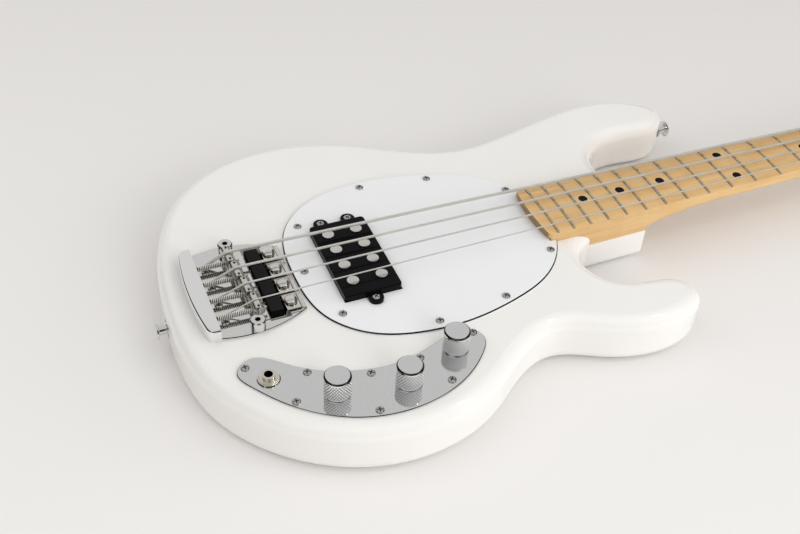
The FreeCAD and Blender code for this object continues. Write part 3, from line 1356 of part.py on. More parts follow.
def make_strings():
    for index in range(4):
        radius = string_radii[index]
        contact = groove_radius + radius + s.string_gap
        hole, apex = string_lift(index)
        nut_point = Vector(head_start + s.nut_bend_reach, nut_lines[index],
                           s.nut_slot_floor + radius + s.string_gap)
        post_x, post_y, side = tuner_places()[index]
        wrap = s.post_waist_radius + radius + s.string_gap
        wrap_low = head_top + s.post_waist_start + radius + s.string_gap
        ball_place = Vector(hole.x, hole.y, s.ball_well_depth - s.ball_radius - s.seat_gap)
        points = [ball_place, hole, apex, nut_point]
        radii = [s.string_hole_bend, contact, s.nut_bend_radius]
        held = index in (1, 2)
        if held:
            bar_x = head_start + s.retainer_x
            round_bar = s.retainer_radius + radius + 2 * s.string_gap
            down = slope_under(nut_point.x, nut_point.z, bar_x, bar_height, round_bar)
            back = slope_under(post_x, wrap_low, bar_x, bar_height, round_bar)
            held_x = (wrap_low - nut_point.z + down * nut_point.x - back * post_x) / (down - back)
            share = (held_x - nut_point.x) / (post_x - nut_point.x)
            held_y = nut_point.y + (post_y - side * wrap - nut_point.y) * share
            points.append(Vector(held_x, held_y, nut_point.z + down * (held_x - nut_point.x)))
            radii.append(round_bar)
        last = points[-1]
        flat_run = Vector(post_x - last.x, post_y - last.y, 0)
        lean = math.asin(wrap / flat_run.Length)
        bearing = math.atan2(flat_run.y, flat_run.x) - side * lean
        way = Vector(math.cos(bearing), math.sin(bearing), 0)
        out = Vector(-way.y, way.x, 0) * (-side)
        tangent_point = Vector(post_x, post_y, wrap_low) + out * wrap
        points.append(tangent_point)
        edges = []
        start = points[0]
        for before, corner, after, turn_radius in zip(points, points[1:], points[2:], radii):
            arc_start, arc_middle, arc_end = bend(before, corner, after, turn_radius)
            edges += [line(start, arc_start), Part.Arc(arc_start, arc_middle, arc_end).toShape()]
            start = arc_end
        edges.append(line(start, tangent_point))
        coming = (tangent_point - start).normalize()
        pitch = 2 * radius + s.post_waist_length / 12
        lead = helix_edges(Vector(post_x, post_y, wrap_low), UP, out, wrap, 0, side * POST_TURNS, pitch)
        quarter = lead[0]
        joint = quarter.valueAt(quarter.LastParameter)
        joint_way = lead[1].tangentAt(lead[1].FirstParameter)
        winding = biarc(tangent_point, coming, joint, joint_way) + lead[1:]
        edges += winding
        string = tube(edges, radius)
        length = sum(edge.Length for edge in edges)
        print(f"string {index + 1}: volume share of section times length",
              round(string.Volume / (math.pi * radius ** 2 * length), 4),
              "least gap of its winding", round(least_gap(winding, radius, math.pi * wrap), 2))
        ball = Part.makeSphere(s.ball_radius, ball_place)
        keep(f"string_{index + 1}", shaped(f"string_{index + 1}", string.fuse(ball)))


def make_tuners():
    bush_low = s.head_bottom
    flange = head_top + s.bush_flange_height
    bore = s.post_radius + s.running_clearance
    bush = turned("tuner_bush", (
        (bore, bush_low), (s.bush_radius, bush_low), (s.bush_radius, head_top), (s.bush_flange_radius, head_top),
        (s.bush_flange_radius, flange - s.bush_flange_height / 3),
        (s.bush_flange_radius - s.bush_flange_height / 3, flange), (bore, flange)))
    foot = s.head_bottom - s.post_foot
    waist = head_top + s.post_waist_start
    shoulder = waist + s.post_waist_length
    crown = head_top + s.post_rise
    flare = (s.post_radius - s.post_waist_radius)
    post = turned("tuner_post", (
        (0, foot), (s.post_radius, foot), (s.post_radius, waist - flare), (s.post_waist_radius, waist),
        (s.post_waist_radius, shoulder), (s.post_radius, shoulder + flare), (s.post_radius, crown - flare / 2),
        (s.post_radius - flare / 2, crown), (0, crown)))
    slot = doc.addObject("Part::Box", "post_slot")
    slot.setExpression("Length", "2 * sizes.post_radius + 2 * sizes.overrun")
    slot.setExpression("Width", "sizes.post_slot_width")
    slot.setExpression("Height", "sizes.post_slot_depth + sizes.overrun")
    slot.Placement = at(-s.post_radius - s.overrun, -s.post_slot_width / 2, crown - s.post_slot_depth)
    post = cut("tuner_post_slotted", post, slot)

    housings, bushes = [], []
    half_length = s.housing_length / 2
    half_width = s.housing_width / 2
    for index, (x, y, side) in enumerate(tuner_places(), start=1):
        keep(f"tuner_post_{index}", repeated(f"tuner_post_{index}", post, [at(x, y, 0)]))
        bushes.append(at(x, y, 0))
        centre = x + s.housing_shift
        housing = padded(f"housing_blank_{index}", rectangle(centre - half_length, y - half_width,
                                                             centre + half_length, y + half_width),
                         "sizes.housing_height", "sizes.head_bottom - sizes.housing_height")
        rounded(housing, "sizes.housing_round", lambda edge: upright(edge) or edge.BoundBox.ZMax
                < s.head_bottom - s.housing_height + s.seat_gap)
        key_x = x + s.key_shift
        key_z = s.head_bottom - s.key_drop
        way = ACROSS * side
        wall = Vector(key_x, y + side * half_width, key_z)
        clear = s.running_clearance
        screw = head_screw_places()[1 + index]
        holes = [Part.makeCylinder(bore, s.post_foot + s.overrun, Vector(x, y, foot - clear)),
                 Part.makeCylinder(s.key_shaft_radius + clear, s.key_shaft_depth + s.overrun,
                                   wall + way * s.overrun, -way),
                 Part.makeCylinder(s.small_screw_head_radius, s.housing_height,
                                   Vector(screw[0], screw[1], screw[2]), -UP),
                 Part.makeCylinder(s.small_screw_radius, s.housing_height, Vector(screw[0], screw[1], screw[2]))]
        housings.append(cut(f"housing_{index}", housing,
                            shaped(f"housing_holes_{index}", Part.makeCompound(holes))))

        shaft = Part.makeCylinder(s.key_shaft_radius, s.key_shaft_depth + s.key_neck,
                                  wall - way * (s.key_shaft_depth - clear), way)
        paddle = padded(f"key_paddle_{index}", closed_curve([
            (key_x + s.key_width / 2 * math.cos(angle), wall.y + side * (
                s.key_neck + s.key_length / 2 * (1 + math.sin(angle)) - s.key_shaft_radius))
            for angle in (2 * math.pi * k / 12 for k in range(12))], 4),
            "sizes.key_thickness",
            "sizes.head_bottom - sizes.key_drop - sizes.key_thickness / 2")
        rounded(paddle, "sizes.key_round", flat)
        keep(f"tuner_key_{index}", fused(f"tuner_key_{index}",
                                         [shaped(f"key_shaft_{index}", shaft), paddle]))
    keep("tuner_housings", grouped("tuner_housings", housings))
    keep("tuner_bushings", repeated("tuner_bushings", bush, bushes))

    half = s.retainer_spread / 2
    retainer_x = head_start + s.retainer_x
    bar = Part.makeCylinder(s.retainer_radius, s.retainer_spread, Vector(retainer_x, -half, bar_height), ACROSS)
    for y in (half, -half):
        place = Vector(retainer_x, y, head_top)
        bar = bar.fuse(Part.makeCylinder(s.retainer_post_radius, s.retainer_height, place))
    for y in (half, -half):
        place = Vector(retainer_x, y, head_top)
        bar = bar.cut(Part.makeCylinder(s.small_screw_radius, s.retainer_height + s.overrun, place))
    keep("string_retainer", shaped("string_retainer", bar))


def make_small_screws():
    screw = small_screw("small_screw")
    places = [at(x, y, guard_top) for x, y in guard_screws]
    places += [at(x, y, plate_top) for x, y in plate_screws]
    places += [at(x, y, ear_top) for x, y in ear_screws]
    keep("plate_screws", repeated("plate_screws", screw, places))
    heads = [at(x, y, height, way) for x, y, height, way in head_screw_places()]
    keep("headstock_screws", repeated("headstock_screws", screw, heads))


def make_buttons():
    long = s.button_length
    rim = s.button_flange
    button = turned("strap_button", (
        (s.button_screw_radius, 0), (s.button_radius * 0.86, 0), (s.button_radius * 0.86, rim / 2),
        (s.button_neck_radius, rim), (s.button_neck_radius, long - rim), (s.button_radius, long - rim / 2),
        (s.button_radius, long), (s.button_screw_head, long),
        (s.button_screw_radius, long - s.button_screw_head + s.button_screw_radius)))
    screw = turned("strap_screw", (
        (0, long), (s.button_screw_head, long),
        (s.button_screw_radius, long - s.button_screw_head + s.button_screw_radius),
        (s.button_screw_radius, -s.button_screw_depth), (0, -s.button_screw_depth)))
    pieces = [repeated("strap_button_pair", button, buttons), repeated("strap_screw_pair", screw, buttons)]
    keep("strap_buttons", grouped("strap_buttons", pieces))


make_small_screws()
make_body()
make_neck()
make_fretboard()
make_nut()
make_neck_fixing()
make_guard()
make_pickup()
make_controls()
make_bridge()
make_saddles()
make_springs()
make_mutes()
make_strings()
make_tuners()
make_buttons()
doc.recompute()

for item in doc.Objects:
    if "Invalid" in item.State or "Error" in item.State:
        raise RuntimeError(f"{item.Label} failed to build")
for node, item in NODES.items():
    if item.Shape.isNull() or not item.Shape.isValid():
        raise RuntimeError(f"{node} has no valid shape")

os.makedirs("parts", exist_ok=True)
for node, item in NODES.items():
    item.Shape.exportStep(f"parts/{node}.step")
print(len(NODES), "nodes written")
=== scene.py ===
"""Looks of the bass guitar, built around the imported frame. Lengths are in metres."""

import math

import bmesh
import bpy
from mathutils import Matrix, Vector


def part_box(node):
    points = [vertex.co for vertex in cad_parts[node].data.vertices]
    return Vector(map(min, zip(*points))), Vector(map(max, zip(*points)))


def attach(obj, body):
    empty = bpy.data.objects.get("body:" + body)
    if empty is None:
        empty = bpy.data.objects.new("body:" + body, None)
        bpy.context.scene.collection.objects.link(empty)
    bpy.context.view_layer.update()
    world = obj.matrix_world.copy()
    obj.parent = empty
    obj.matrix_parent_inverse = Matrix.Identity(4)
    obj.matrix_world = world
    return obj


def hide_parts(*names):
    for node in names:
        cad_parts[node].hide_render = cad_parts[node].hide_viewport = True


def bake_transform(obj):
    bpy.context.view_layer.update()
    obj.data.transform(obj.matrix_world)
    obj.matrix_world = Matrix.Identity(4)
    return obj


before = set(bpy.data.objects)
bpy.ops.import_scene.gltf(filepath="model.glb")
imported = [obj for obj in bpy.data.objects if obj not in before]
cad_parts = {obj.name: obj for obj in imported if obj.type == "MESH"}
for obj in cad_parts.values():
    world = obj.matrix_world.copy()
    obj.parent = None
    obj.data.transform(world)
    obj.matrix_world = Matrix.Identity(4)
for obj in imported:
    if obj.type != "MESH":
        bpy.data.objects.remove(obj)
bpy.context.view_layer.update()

MM = 0.001
ROOT = "bass_body"
STRINGS = (1, 2, 3, 4)
KNOBS = ("volume_knob", "treble_knob", "bass_knob")
SCENE = bpy.context.scene


# Camera, fitted to the frets of the photograph
CAMERA_PLACE = Vector((-148.994, -606.523, 631.639)) * MM
CAMERA_AZIMUTH = math.radians(-24.625)
CAMERA_ELEVATION = math.radians(42.182)
CAMERA_ROLL = math.radians(3.401)
CAMERA_NEAR = 10 * MM
SENSOR_WIDTH = 36.0
FOCAL_LENGTH = 49.15


def make_camera():
    flat = math.cos(CAMERA_ELEVATION)
    right = Vector((math.cos(CAMERA_AZIMUTH), math.sin(CAMERA_AZIMUTH), 0))
    back = Vector((math.sin(CAMERA_AZIMUTH) * flat, -math.cos(CAMERA_AZIMUTH) * flat,
                   math.sin(CAMERA_ELEVATION)))
    up = back.cross(right)
    rolled_right = right * math.cos(CAMERA_ROLL) + up * math.sin(CAMERA_ROLL)
    rolled_up = up * math.cos(CAMERA_ROLL) - right * math.sin(CAMERA_ROLL)
    data = bpy.data.cameras.new("camera")
    data.sensor_width = SENSOR_WIDTH
    data.lens = FOCAL_LENGTH
    data.clip_start = CAMERA_NEAR
    camera = bpy.data.objects.new("camera", data)
    SCENE.collection.objects.link(camera)
    turn = Matrix((rolled_right, rolled_up, back)).transposed()
    camera.matrix_world = Matrix.Translation(CAMERA_PLACE) @ turn.to_4x4()
    SCENE.camera = camera


# Node trees of the world and of the materials; most of what a noise gives lies within its span
NOISE_SPAN = (0.3, 0.7)
NOISE_DETAIL = 2.0
NOISE_ROUGHNESS = 0.5
WHOLE_SPAN = (0.0, 1.0)
EVEN_SCALE = (1, 1, 1)
# A hole's painted shade begins about its rim, and a little below its top
WELL_RIM_SHARES = (0.96, 1.02)
WELL_DEPTHS = (0.3 * MM, 0.1 * MM)


class Nodes:
    """A node tree with short ways to add nodes and to join them."""

    def __init__(self, tree):
        self.tree = tree

    def add(self, kind, **settings):
        node = self.tree.nodes.new(kind)
        for key, value in settings.items():
            setattr(node, key, value)
        return node

    def join(self, value, socket):
        """Feed a socket with another node's output, or with a plain value."""
        if isinstance(value, bpy.types.NodeSocket):
            self.tree.links.new(value, socket)
        elif socket.type == "RGBA":
            socket.default_value = (*value, 1)
        else:
            socket.default_value = value

    def split(self, vector):
        """The X, Y and Z of a vector."""
        node = self.add("ShaderNodeSeparateXYZ")
        self.join(vector, node.inputs[0])
        return node.outputs

    def calculate(self, operation, *values):
        """A number made from other numbers."""
        node = self.add("ShaderNodeMath", operation=operation)
        for value, socket in zip(values, node.inputs):
            self.join(value, socket)
        return node.outputs[0]

    def fold(self, operation, values):
        """A row of numbers brought down to one, two at a time."""
        result = values[0]
        for value in values[1:]:
            result = self.calculate(operation, result, value)
        return result

    def measure(self, operation, first, second):
        """A number made from two vectors."""
        node = self.add("ShaderNodeVectorMath", operation=operation)
        self.join(first, node.inputs[0])
        self.join(second, node.inputs[1])
        return node.outputs["Value"]

    def spread(self, value, low, high, new_low=0.0, new_high=1.0, **settings):
        """A value moved from one range to another, held at its ends."""
        node = self.add("ShaderNodeMapRange", **settings)
        limits = {"From Min": low, "From Max": high, "To Min": new_low, "To Max": new_high}
        for socket, number in limits.items():
            node.inputs[socket].default_value = number
        self.join(value, node.inputs["Value"])
        return node.outputs["Result"]

    def ramp(self, value, stops, interpolation="LINEAR"):
        """A colour that follows a value from stop to stop."""
        node = self.add("ShaderNodeValToRGB")
        node.color_ramp.interpolation = interpolation
        elements = node.color_ramp.elements
        while len(elements) < len(stops):
            elements.new(1.0)
        for element, (place, colour) in zip(elements, stops):
            element.position = place
            element.color = (*colour, 1)
        self.join(value, node.inputs["Fac"])
        return node.outputs["Color"]

    def tones(self, value, first, second, span=NOISE_SPAN):
        """A colour between two, as a value goes through its span."""
        return self.ramp(value, tuple(zip(span, (first, second))))

    def blend(self, factor, first, second, mode="MIX"):
        """Two colours mixed by a factor."""
        node = self.add("ShaderNodeMix", data_type="RGBA", blend_type=mode)
        self.join(factor, node.inputs["Factor"])
        colours = [socket for socket in node.inputs if socket.type == "RGBA"]
        self.join(first, colours[0])
        self.join(second, colours[1])
        return next(socket for socket in node.outputs if socket.type == "RGBA")


class Paint(Nodes):
    """A material with one principled shader, and short ways to give it detail."""

    def __init__(self, name, metallic=0.0, coat=0.0):
        self.material = bpy.data.materials.new(name)
        self.material.use_nodes = True
        super().__init__(self.material.node_tree)
        self.shader = self.tree.nodes["Principled BSDF"].inputs
        self.join(metallic, self.shader["Metallic"])
        self.join(coat, self.shader["Coat Weight"])

    def spot(self, scale=EVEN_SCALE):
        """Object coordinates, scaled along each axis."""
        source = self.add("ShaderNodeTexCoord")
        mapping = self.add("ShaderNodeMapping")
        mapping.inputs["Scale"].default_value = scale
        self.join(source.outputs["Object"], mapping.inputs["Vector"])
        return mapping.outputs["Vector"]

    def place(self, axis):
        """One object coordinate in metres."""
        return self.split(self.spot())[axis]

    def facing(self, axis):
        """How far the surface faces along an axis, from -1 to 1."""
        return self.split(self.add("ShaderNodeNewGeometry").outputs["Normal"])[axis]

    def noise(self, scale, detail=NOISE_DETAIL, stretch=EVEN_SCALE, roughness=NOISE_ROUGHNESS):
        node = self.add("ShaderNodeTexNoise")
        node.inputs["Scale"].default_value = scale
        node.inputs["Detail"].default_value = detail
        node.inputs["Roughness"].default_value = roughness
        self.join(self.spot(stretch), node.inputs["Vector"])
        return node.outputs["Fac"]

    def colour(self, output):
        self.join(output, self.shader["Base Color"])

    def roughness(self, value, low, high):
        """Roughness from low to high, as a noise goes through its span."""
        self.join(self.spread(value, *NOISE_SPAN, low, high), self.shader["Roughness"])

    def bump(self, value, strength, distance):
        node = self.add("ShaderNodeBump")
        node.inputs["Strength"].default_value = strength
        node.inputs["Distance"].default_value = distance
        self.join(value, node.inputs["Height"])
        self.join(node.outputs["Normal"], self.shader["Normal"])

    def hole_shade_mask(self, places, radius, top):
        """Where painted shade goes: 1 inside round holes at these places and below this level, else 0."""
        axes = self.split(self.spot())
        flat = self.add("ShaderNodeCombineXYZ")
        for axis in "XY":
            self.join(axes[axis], flat.inputs[axis])
        reach = [self.measure("DISTANCE", flat.outputs[0], (x, y, 0)) for x, y in places]
        rims = [radius * share for share in WELL_RIM_SHARES]
        levels = [top - depth for depth in WELL_DEPTHS]
        inside = self.spread(self.fold("MINIMUM", reach), *rims, 1.0, 0.0)
        below = self.spread(axes["Z"], *levels, 1.0, 0.0)
        return self.calculate("MULTIPLY", inside, below)


# Floor, with painted shade that darkens it with distance along one way
FLOOR_LEVEL = -0.2 * MM
FLOOR_SIZE = 80.0
FLOOR_ROUGHNESS = 0.9
FLOOR_NEAR_COLOUR = (0.90, 0.885, 0.87)
FLOOR_FAR_COLOUR = (0.70, 0.68, 0.665)
FLOOR_FADE = (-0.5, 1.3)
FLOOR_FADE_WAY = (0.6, 0.8, 0.0)


def make_floor():
    half = FLOOR_SIZE / 2
    corners = [(-half, -half, FLOOR_LEVEL), (half, -half, FLOOR_LEVEL), (half, half, FLOOR_LEVEL),
               (-half, half, FLOOR_LEVEL)]
    mesh = bpy.data.meshes.new("floor")
    mesh.from_pydata(corners, [], [(0, 1, 2, 3)])
    floor = bpy.data.objects.new("floor", mesh)
    SCENE.collection.objects.link(floor)
    paint = Paint("floor_paper")
    paint.join(FLOOR_ROUGHNESS, paint.shader["Roughness"])
    far = paint.spread(paint.measure("DOT_PRODUCT", paint.spot(), FLOOR_FADE_WAY), *FLOOR_FADE)
    paint.colour(paint.tones(far, FLOOR_NEAR_COLOUR, FLOOR_FAR_COLOUR, WHOLE_SPAN))
    mesh.materials.append(paint.material)


# World: an even light, and a room for what is seen and mirrored
WORLD_COLOUR = (1.0, 0.99, 0.98)
WORLD_STRENGTH = 0.66
SEEN_COLOUR_LOW = (0.74, 0.73, 0.72)
SEEN_COLOUR_HIGH = (0.60, 0.60, 0.60)
# Dark sides of the room, seen only in shiny surfaces: their ways, and how near to a way counts as dark
ROOM_WAYS = ((-0.1, -1.0, 0.0), (1.0, 0.1, 0.0), (-1.0, 0.2, 0.0))
ROOM_SPREAD = (0.62, 0.72)
ROOM_TOP = (0.85, 0.97)
ROOM_COLOUR = (0.035, 0.035, 0.035)
# Kinds of ray that meet the room instead of the even light
ROOM_RAYS = ("Is Camera Ray", "Is Glossy Ray", "Is Transmission Ray")


def make_world():
    world = bpy.data.worlds.new("studio")
    SCENE.world = world
    world.use_nodes = True
    world.node_tree.nodes.clear()
    nodes = Nodes(world.node_tree)
    way = nodes.add("ShaderNodeTexCoord").outputs["Generated"]
    rays = nodes.add("ShaderNodeLightPath").outputs
    rise = nodes.split(way)["Z"]
    walls = nodes.tones(rise, SEEN_COLOUR_LOW, SEEN_COLOUR_HIGH, WHOLE_SPAN)
    nearest = nodes.fold("MAXIMUM", [nodes.measure("DOT_PRODUCT", way, side) for side in ROOM_WAYS])
    sides = nodes.spread(nearest, *ROOM_SPREAD, interpolation_type="SMOOTHSTEP")
    below = nodes.spread(rise, *ROOM_TOP, 1.0, 0.0, interpolation_type="SMOOTHSTEP")
    dark = nodes.fold("MULTIPLY", [rays["Is Glossy Ray"], sides, below])
    room = nodes.add("ShaderNodeBackground")
    nodes.join(nodes.blend(dark, walls, ROOM_COLOUR), room.inputs["Color"])
    light = nodes.add("ShaderNodeBackground")
    nodes.join(WORLD_COLOUR, light.inputs["Color"])
    nodes.join(WORLD_STRENGTH, light.inputs["Strength"])
    choice = nodes.add("ShaderNodeMixShader")
    nodes.join(nodes.fold("MAXIMUM", [rays[ray] for ray in ROOM_RAYS]), choice.inputs[0])
    nodes.join(light.outputs[0], choice.inputs[1])
    nodes.join(room.outputs[0], choice.inputs[2])
    nodes.join(choice.outputs[0], nodes.add("ShaderNodeOutputWorld").inputs["Surface"])


# Lamps: place, size, power and whether shiny surfaces mirror the lamp
LAMPS = {
    "key_lamp": ((0.75, -0.85, 1.5), 1.4, 4.2, False),
    "fill_lamp": ((-1.0, 0.4, 1.6), 1.4, 5.0, False),
    "front_lamp": ((1.0, -2.95, 1.2), 1.8, 32.0, False),
    "side_lamp": ((2.7, -1.0, 0.9), 1.4, 13.0, False),
    "spark_lamp": ((0.85, -0.42, 1.17), 0.12, 0.4, True),
}
LAMP_TARGET = Vector((0.15, 0, 0))


def make_lamps():
    for name, (place, size, power, mirrored) in LAMPS.items():
        data = bpy.data.lights.new(name, "AREA")
        data.size = size
        data.energy = power
        lamp = bpy.data.objects.new(name, data)
        SCENE.collection.objects.link(lamp)
        lamp.location = place
        lamp.visible_glossy = mirrored
        lamp.rotation_euler = (LAMP_TARGET - lamp.location).to_track_quat("-Z", "Y").to_euler()


# White lacquer: the scales are those of its clouds, its marks and its grain
LACQUER_COAT = 0.3
LACQUER_SCALES = (9.0, 160.0, 420.0)
LACQUER_TONES = ((0.845, 0.83, 0.80), (0.875, 0.86, 0.83))
LACQUER_ROUGHNESS = (0.08, 0.14)
LACQUER_BUMP = (0.03, 0.05 * MM)


def lacquer():
    """Warm white gloss lacquer with a trace of sanding under it."""
    paint = Paint("white_lacquer", coat=LACQUER_COAT)
    cloud, marks, grain = (paint.noise(scale) for scale in LACQUER_SCALES)
    paint.colour(paint.tones(cloud, *LACQUER_TONES))
    paint.roughness(marks, *LACQUER_ROUGHNESS)
    paint.bump(grain, *LACQUER_BUMP)
    return paint.material


# Guard laminate: each layer's colour, and where it begins as a share of the thickness
LAMINATE_WHITE = (0.85, 0.855, 0.865)
LAMINATE_BLACK = (0.012, 0.012, 0.013)
LAMINATE_LAYER_SHARES = ((0.0, LAMINATE_WHITE), (0.46, LAMINATE_BLACK), (0.88, LAMINATE_WHITE))
LAMINATE_SCALES = (14.0, 220.0, 300.0)
LAMINATE_SHADES = ((0.97, 0.97, 0.97), (1, 1, 1))
LAMINATE_ROUGHNESS = (0.1, 0.18)
LAMINATE_BUMP = 0.02
LAMINATE_BUMP_SHARE = 0.02


def laminate():
    """Gloss white sheet whose bevelled edge shows a black core."""
    paint = Paint("guard_laminate")
    low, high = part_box("pickguard")
    cloud, marks, grain = (paint.noise(scale) for scale in LAMINATE_SCALES)
    height = paint.spread(paint.place("Z"), low.z, high.z)
    layers = paint.ramp(height, LAMINATE_LAYER_SHARES, "CONSTANT")
    paint.colour(paint.blend(1.0, layers, paint.tones(cloud, *LAMINATE_SHADES), "MULTIPLY"))
    paint.roughness(marks, *LAMINATE_ROUGHNESS)
    paint.bump(grain, LAMINATE_BUMP, (high.z - low.z) * LAMINATE_BUMP_SHARE)
    return paint.material


# Maple: scale, detail, stretch along each axis and roughness of its noises
MAPLE_GRAIN = (1.0, 6.0, (14, 190, 190), 0.62)
MAPLE_FIGURE = (1.0, 2.0, (120, 14, 14), 0.5)
MAPLE_PORES = (1.0, 4.0, (110, 1500, 1500), 0.7)
MAPLE_STOPS = ((0.28, (0.60, 0.355, 0.135)), (0.5, (0.705, 0.445, 0.185)), (0.72, (0.78, 0.53, 0.25)))
MAPLE_COAT = 0.25
MAPLE_ROUGHNESS = (0.26, 0.38)
MAPLE_BUMP = (0.06, 0.1 * MM)
# Where the figure, the pores and the end grain show, and how strongly at least and at most
FIGURE_SPREAD = (0.35, 0.7, 0.0, 0.28)
FIGURE_COLOUR = (0.80, 0.56, 0.28)
PORE_SPREAD = (0.6, 0.75, 0.0, 0.3)
PORE_COLOUR = (0.40, 0.21, 0.07)
END_SPREAD = (-0.75, -0.95, 0.0, 1.0)
END_COLOUR = (0.30, 0.165, 0.065)


def maple():
    """Amber maple with long grain, pores and a faint figure across it, dark on its heel end."""
    paint = Paint("maple_board", coat=MAPLE_COAT)
    grain = paint.noise(*MAPLE_GRAIN)
    pores = paint.noise(*MAPLE_PORES)
    tone = paint.ramp(grain, MAPLE_STOPS)
    tone = paint.blend(paint.spread(paint.noise(*MAPLE_FIGURE), *FIGURE_SPREAD), tone, FIGURE_COLOUR)
    tone = paint.blend(paint.spread(pores, *PORE_SPREAD), tone, PORE_COLOUR)
    paint.colour(paint.blend(paint.spread(paint.facing("X"), *END_SPREAD), tone, END_COLOUR))
    paint.roughness(grain, *MAPLE_ROUGHNESS)
    paint.bump(pores, *MAPLE_BUMP)
    return paint.material


# Metals: colour, least and most roughness, scale of the marks and how metallic
METALS = {
    "polished_chrome": ((0.80, 0.80, 0.80), 0.035, 0.06, 350.0, 1.0),
    "bolt_chrome": ((0.80, 0.80, 0.79), 0.05, 0.09, 350.0, 1.0),
    "plate_chrome": ((0.80, 0.80, 0.80), 0.035, 0.06, 350.0, 1.0),
    "bridge_chrome": ((0.82, 0.82, 0.81), 0.035, 0.06, 350.0, 1.0),
    # Painted dark reflection for the knobs' bevels
    "knob_dark_reflection": ((0.13, 0.13, 0.13), 0.1, 0.16, 350.0, 1.0),
    "brushed_cap": ((0.80, 0.80, 0.80), 0.24, 0.28, 150.0, 1.0),
    "thumb_nickel": ((0.82, 0.795, 0.755), 0.18, 0.22, 120.0, 1.0),
    "satin_nickel": ((0.76, 0.735, 0.695), 0.2, 0.26, 120.0, 1.0),
    "leaf_nickel": ((0.80, 0.775, 0.735), 0.12, 0.18, 120.0, 1.0),
    "saddle_nickel": ((0.76, 0.73, 0.69), 0.2, 0.26, 120.0, 1.0),
    "jack_nickel": ((0.78, 0.74, 0.66), 0.12, 0.18, 300.0, 1.0),
    # Frets: partly the warm tone of nickel silver, partly a painted reflection of the maple, darker and
    # yellower
    "fret_crown": ((0.62, 0.58, 0.48), 0.14, 0.2, 200.0, 0.9),
    "spring_steel": ((0.93, 0.90, 0.82), 0.3, 0.38, 300.0, 0.55),
    # Painted shade: the intonation screws inside their springs and the inner faces of the springs' turns
    "painted_shade_steel": ((0.05, 0.046, 0.04), 0.3, 0.4, 900.0, 1.0),
    "screw_head": ((0.54, 0.53, 0.51), 0.16, 0.24, 300.0, 1.0),
    "bridge_screw_head": ((0.50, 0.49, 0.47), 0.2, 0.3, 300.0, 1.0),
    "coil_copper": ((0.55, 0.27, 0.13), 0.3, 0.45, 350.0, 1.0),
}
MARK_SHARE = 0.97
# Painted shade inside holes
HOLE_SHADE_COLOUR = (0.006, 0.006, 0.006)
# How far a face counts as a bevel, by the rise of its normal; low bevels of the plates get a painted dark
# reflection
NONE = (0, 0, 0)
FULL = (1, 1, 1)
EDGE_STOPS = ((0.3, NONE), (0.5, FULL), (0.85, FULL), (0.97, NONE))
BEVEL_DARK_REFLECTION = (0.2, 0.2, 0.2)
EDGE_FADE = 0.1 * MM


def tint(colour, share):
    return tuple(part * share for part in colour)


def metal(name, holes=None, tip=None, dark_reflection_level=None):
    """Plated or drawn metal with fine marks, with painted shade in its holes and a painted dark
    reflection on low bevels, or pale past a tip.
    """
    colour, low, high, scale, metallic = METALS[name]
    paint = Paint(name, metallic)
    marks = paint.noise(scale)
    tone = paint.tones(marks, tint(colour, MARK_SHARE), colour)
    # Painted shade in the holes
    if holes:
        tone = paint.blend(paint.hole_shade_mask(*holes), tone, HOLE_SHADE_COLOUR)
    if tip:
        start, end, pale = tip
        tone = paint.blend(paint.spread(paint.place("X"), start, end), tone, pale)
    # Painted dark reflection on low bevels
    if dark_reflection_level is not None:
        slanted = paint.ramp(paint.facing("Z"), EDGE_STOPS)
        below = paint.spread(paint.place("Z"), dark_reflection_level, dark_reflection_level + EDGE_FADE, 1.0, 0.0)
        tone = paint.blend(paint.calculate("MULTIPLY", slanted, below), tone, BEVEL_DARK_REFLECTION)
    paint.colour(tone)
    paint.roughness(marks, low, high)
    return paint.material


# Mouldings: colour, least and most roughness, strength of the bump and shine
MOULDINGS = {
    "recess_shade": ((0.012, 0.012, 0.012), 0.5, 0.7, 0.05, 0.5),
    "black_moulding": ((0.003, 0.003, 0.0035), 0.1, 0.16, 0.02, 0.08),
    "pad_foam": ((0.0025, 0.0025, 0.0025), 0.75, 0.9, 0.5, 0.12),
    "bone": ((0.80, 0.76, 0.66), 0.3, 0.42, 0.05, 0.5),
    "board_resin": ((0.03, 0.16, 0.06), 0.4, 0.5, 0.05, 0.5),
    "battery_case": ((0.05, 0.05, 0.06), 0.35, 0.5, 0.05, 0.5),
}
# Scale and detail of the fine grain and of the pale patches
MOULDED_GRAIN = (900.0, 3.0)
MOULDED_PATCHES = (60.0, 3.0)
PATCH_SPAN = (0.35, 0.7)
PALE_SHARE = 1.4
GRAIN_DEPTH = 0.05 * MM
# Rise of the normal over which the top gets painted light
LIT_TOP_RISE = (0.75, 0.95)


def moulded(name, lit_top=None):
    """Moulded plastic or rubber with a fine grain, perhaps with painted light that makes its top paler.
    """
    colour, low, high, strength, shine = MOULDINGS[name]
    paint = Paint(name)
    paint.join(shine, paint.shader["Specular IOR Level"])
    grain = paint.noise(*MOULDED_GRAIN)
    tone = paint.tones(paint.noise(*MOULDED_PATCHES), colour, tint(colour, PALE_SHARE), PATCH_SPAN)
    # Painted light on the top faces
    if lit_top:
        tone = paint.blend(paint.spread(paint.facing("Z"), *LIT_TOP_RISE), tone, lit_top)
    paint.colour(tone)
    paint.roughness(grain, low, high)
    paint.bump(grain, strength, GRAIN_DEPTH)
    return paint.material


# Wound strings
WIRE_METALLIC = 0.5
WIRE_TURNS = 700.0
WIRE_CLOUD = 40.0
WIRE_MARKS = 300.0
WIRE_TONES = ((0.62, 0.605, 0.56), (0.70, 0.685, 0.64))
WIRE_ROUGHNESS = (0.3, 0.42)
WIRE_BUMP = (0.35, 0.12 * MM)


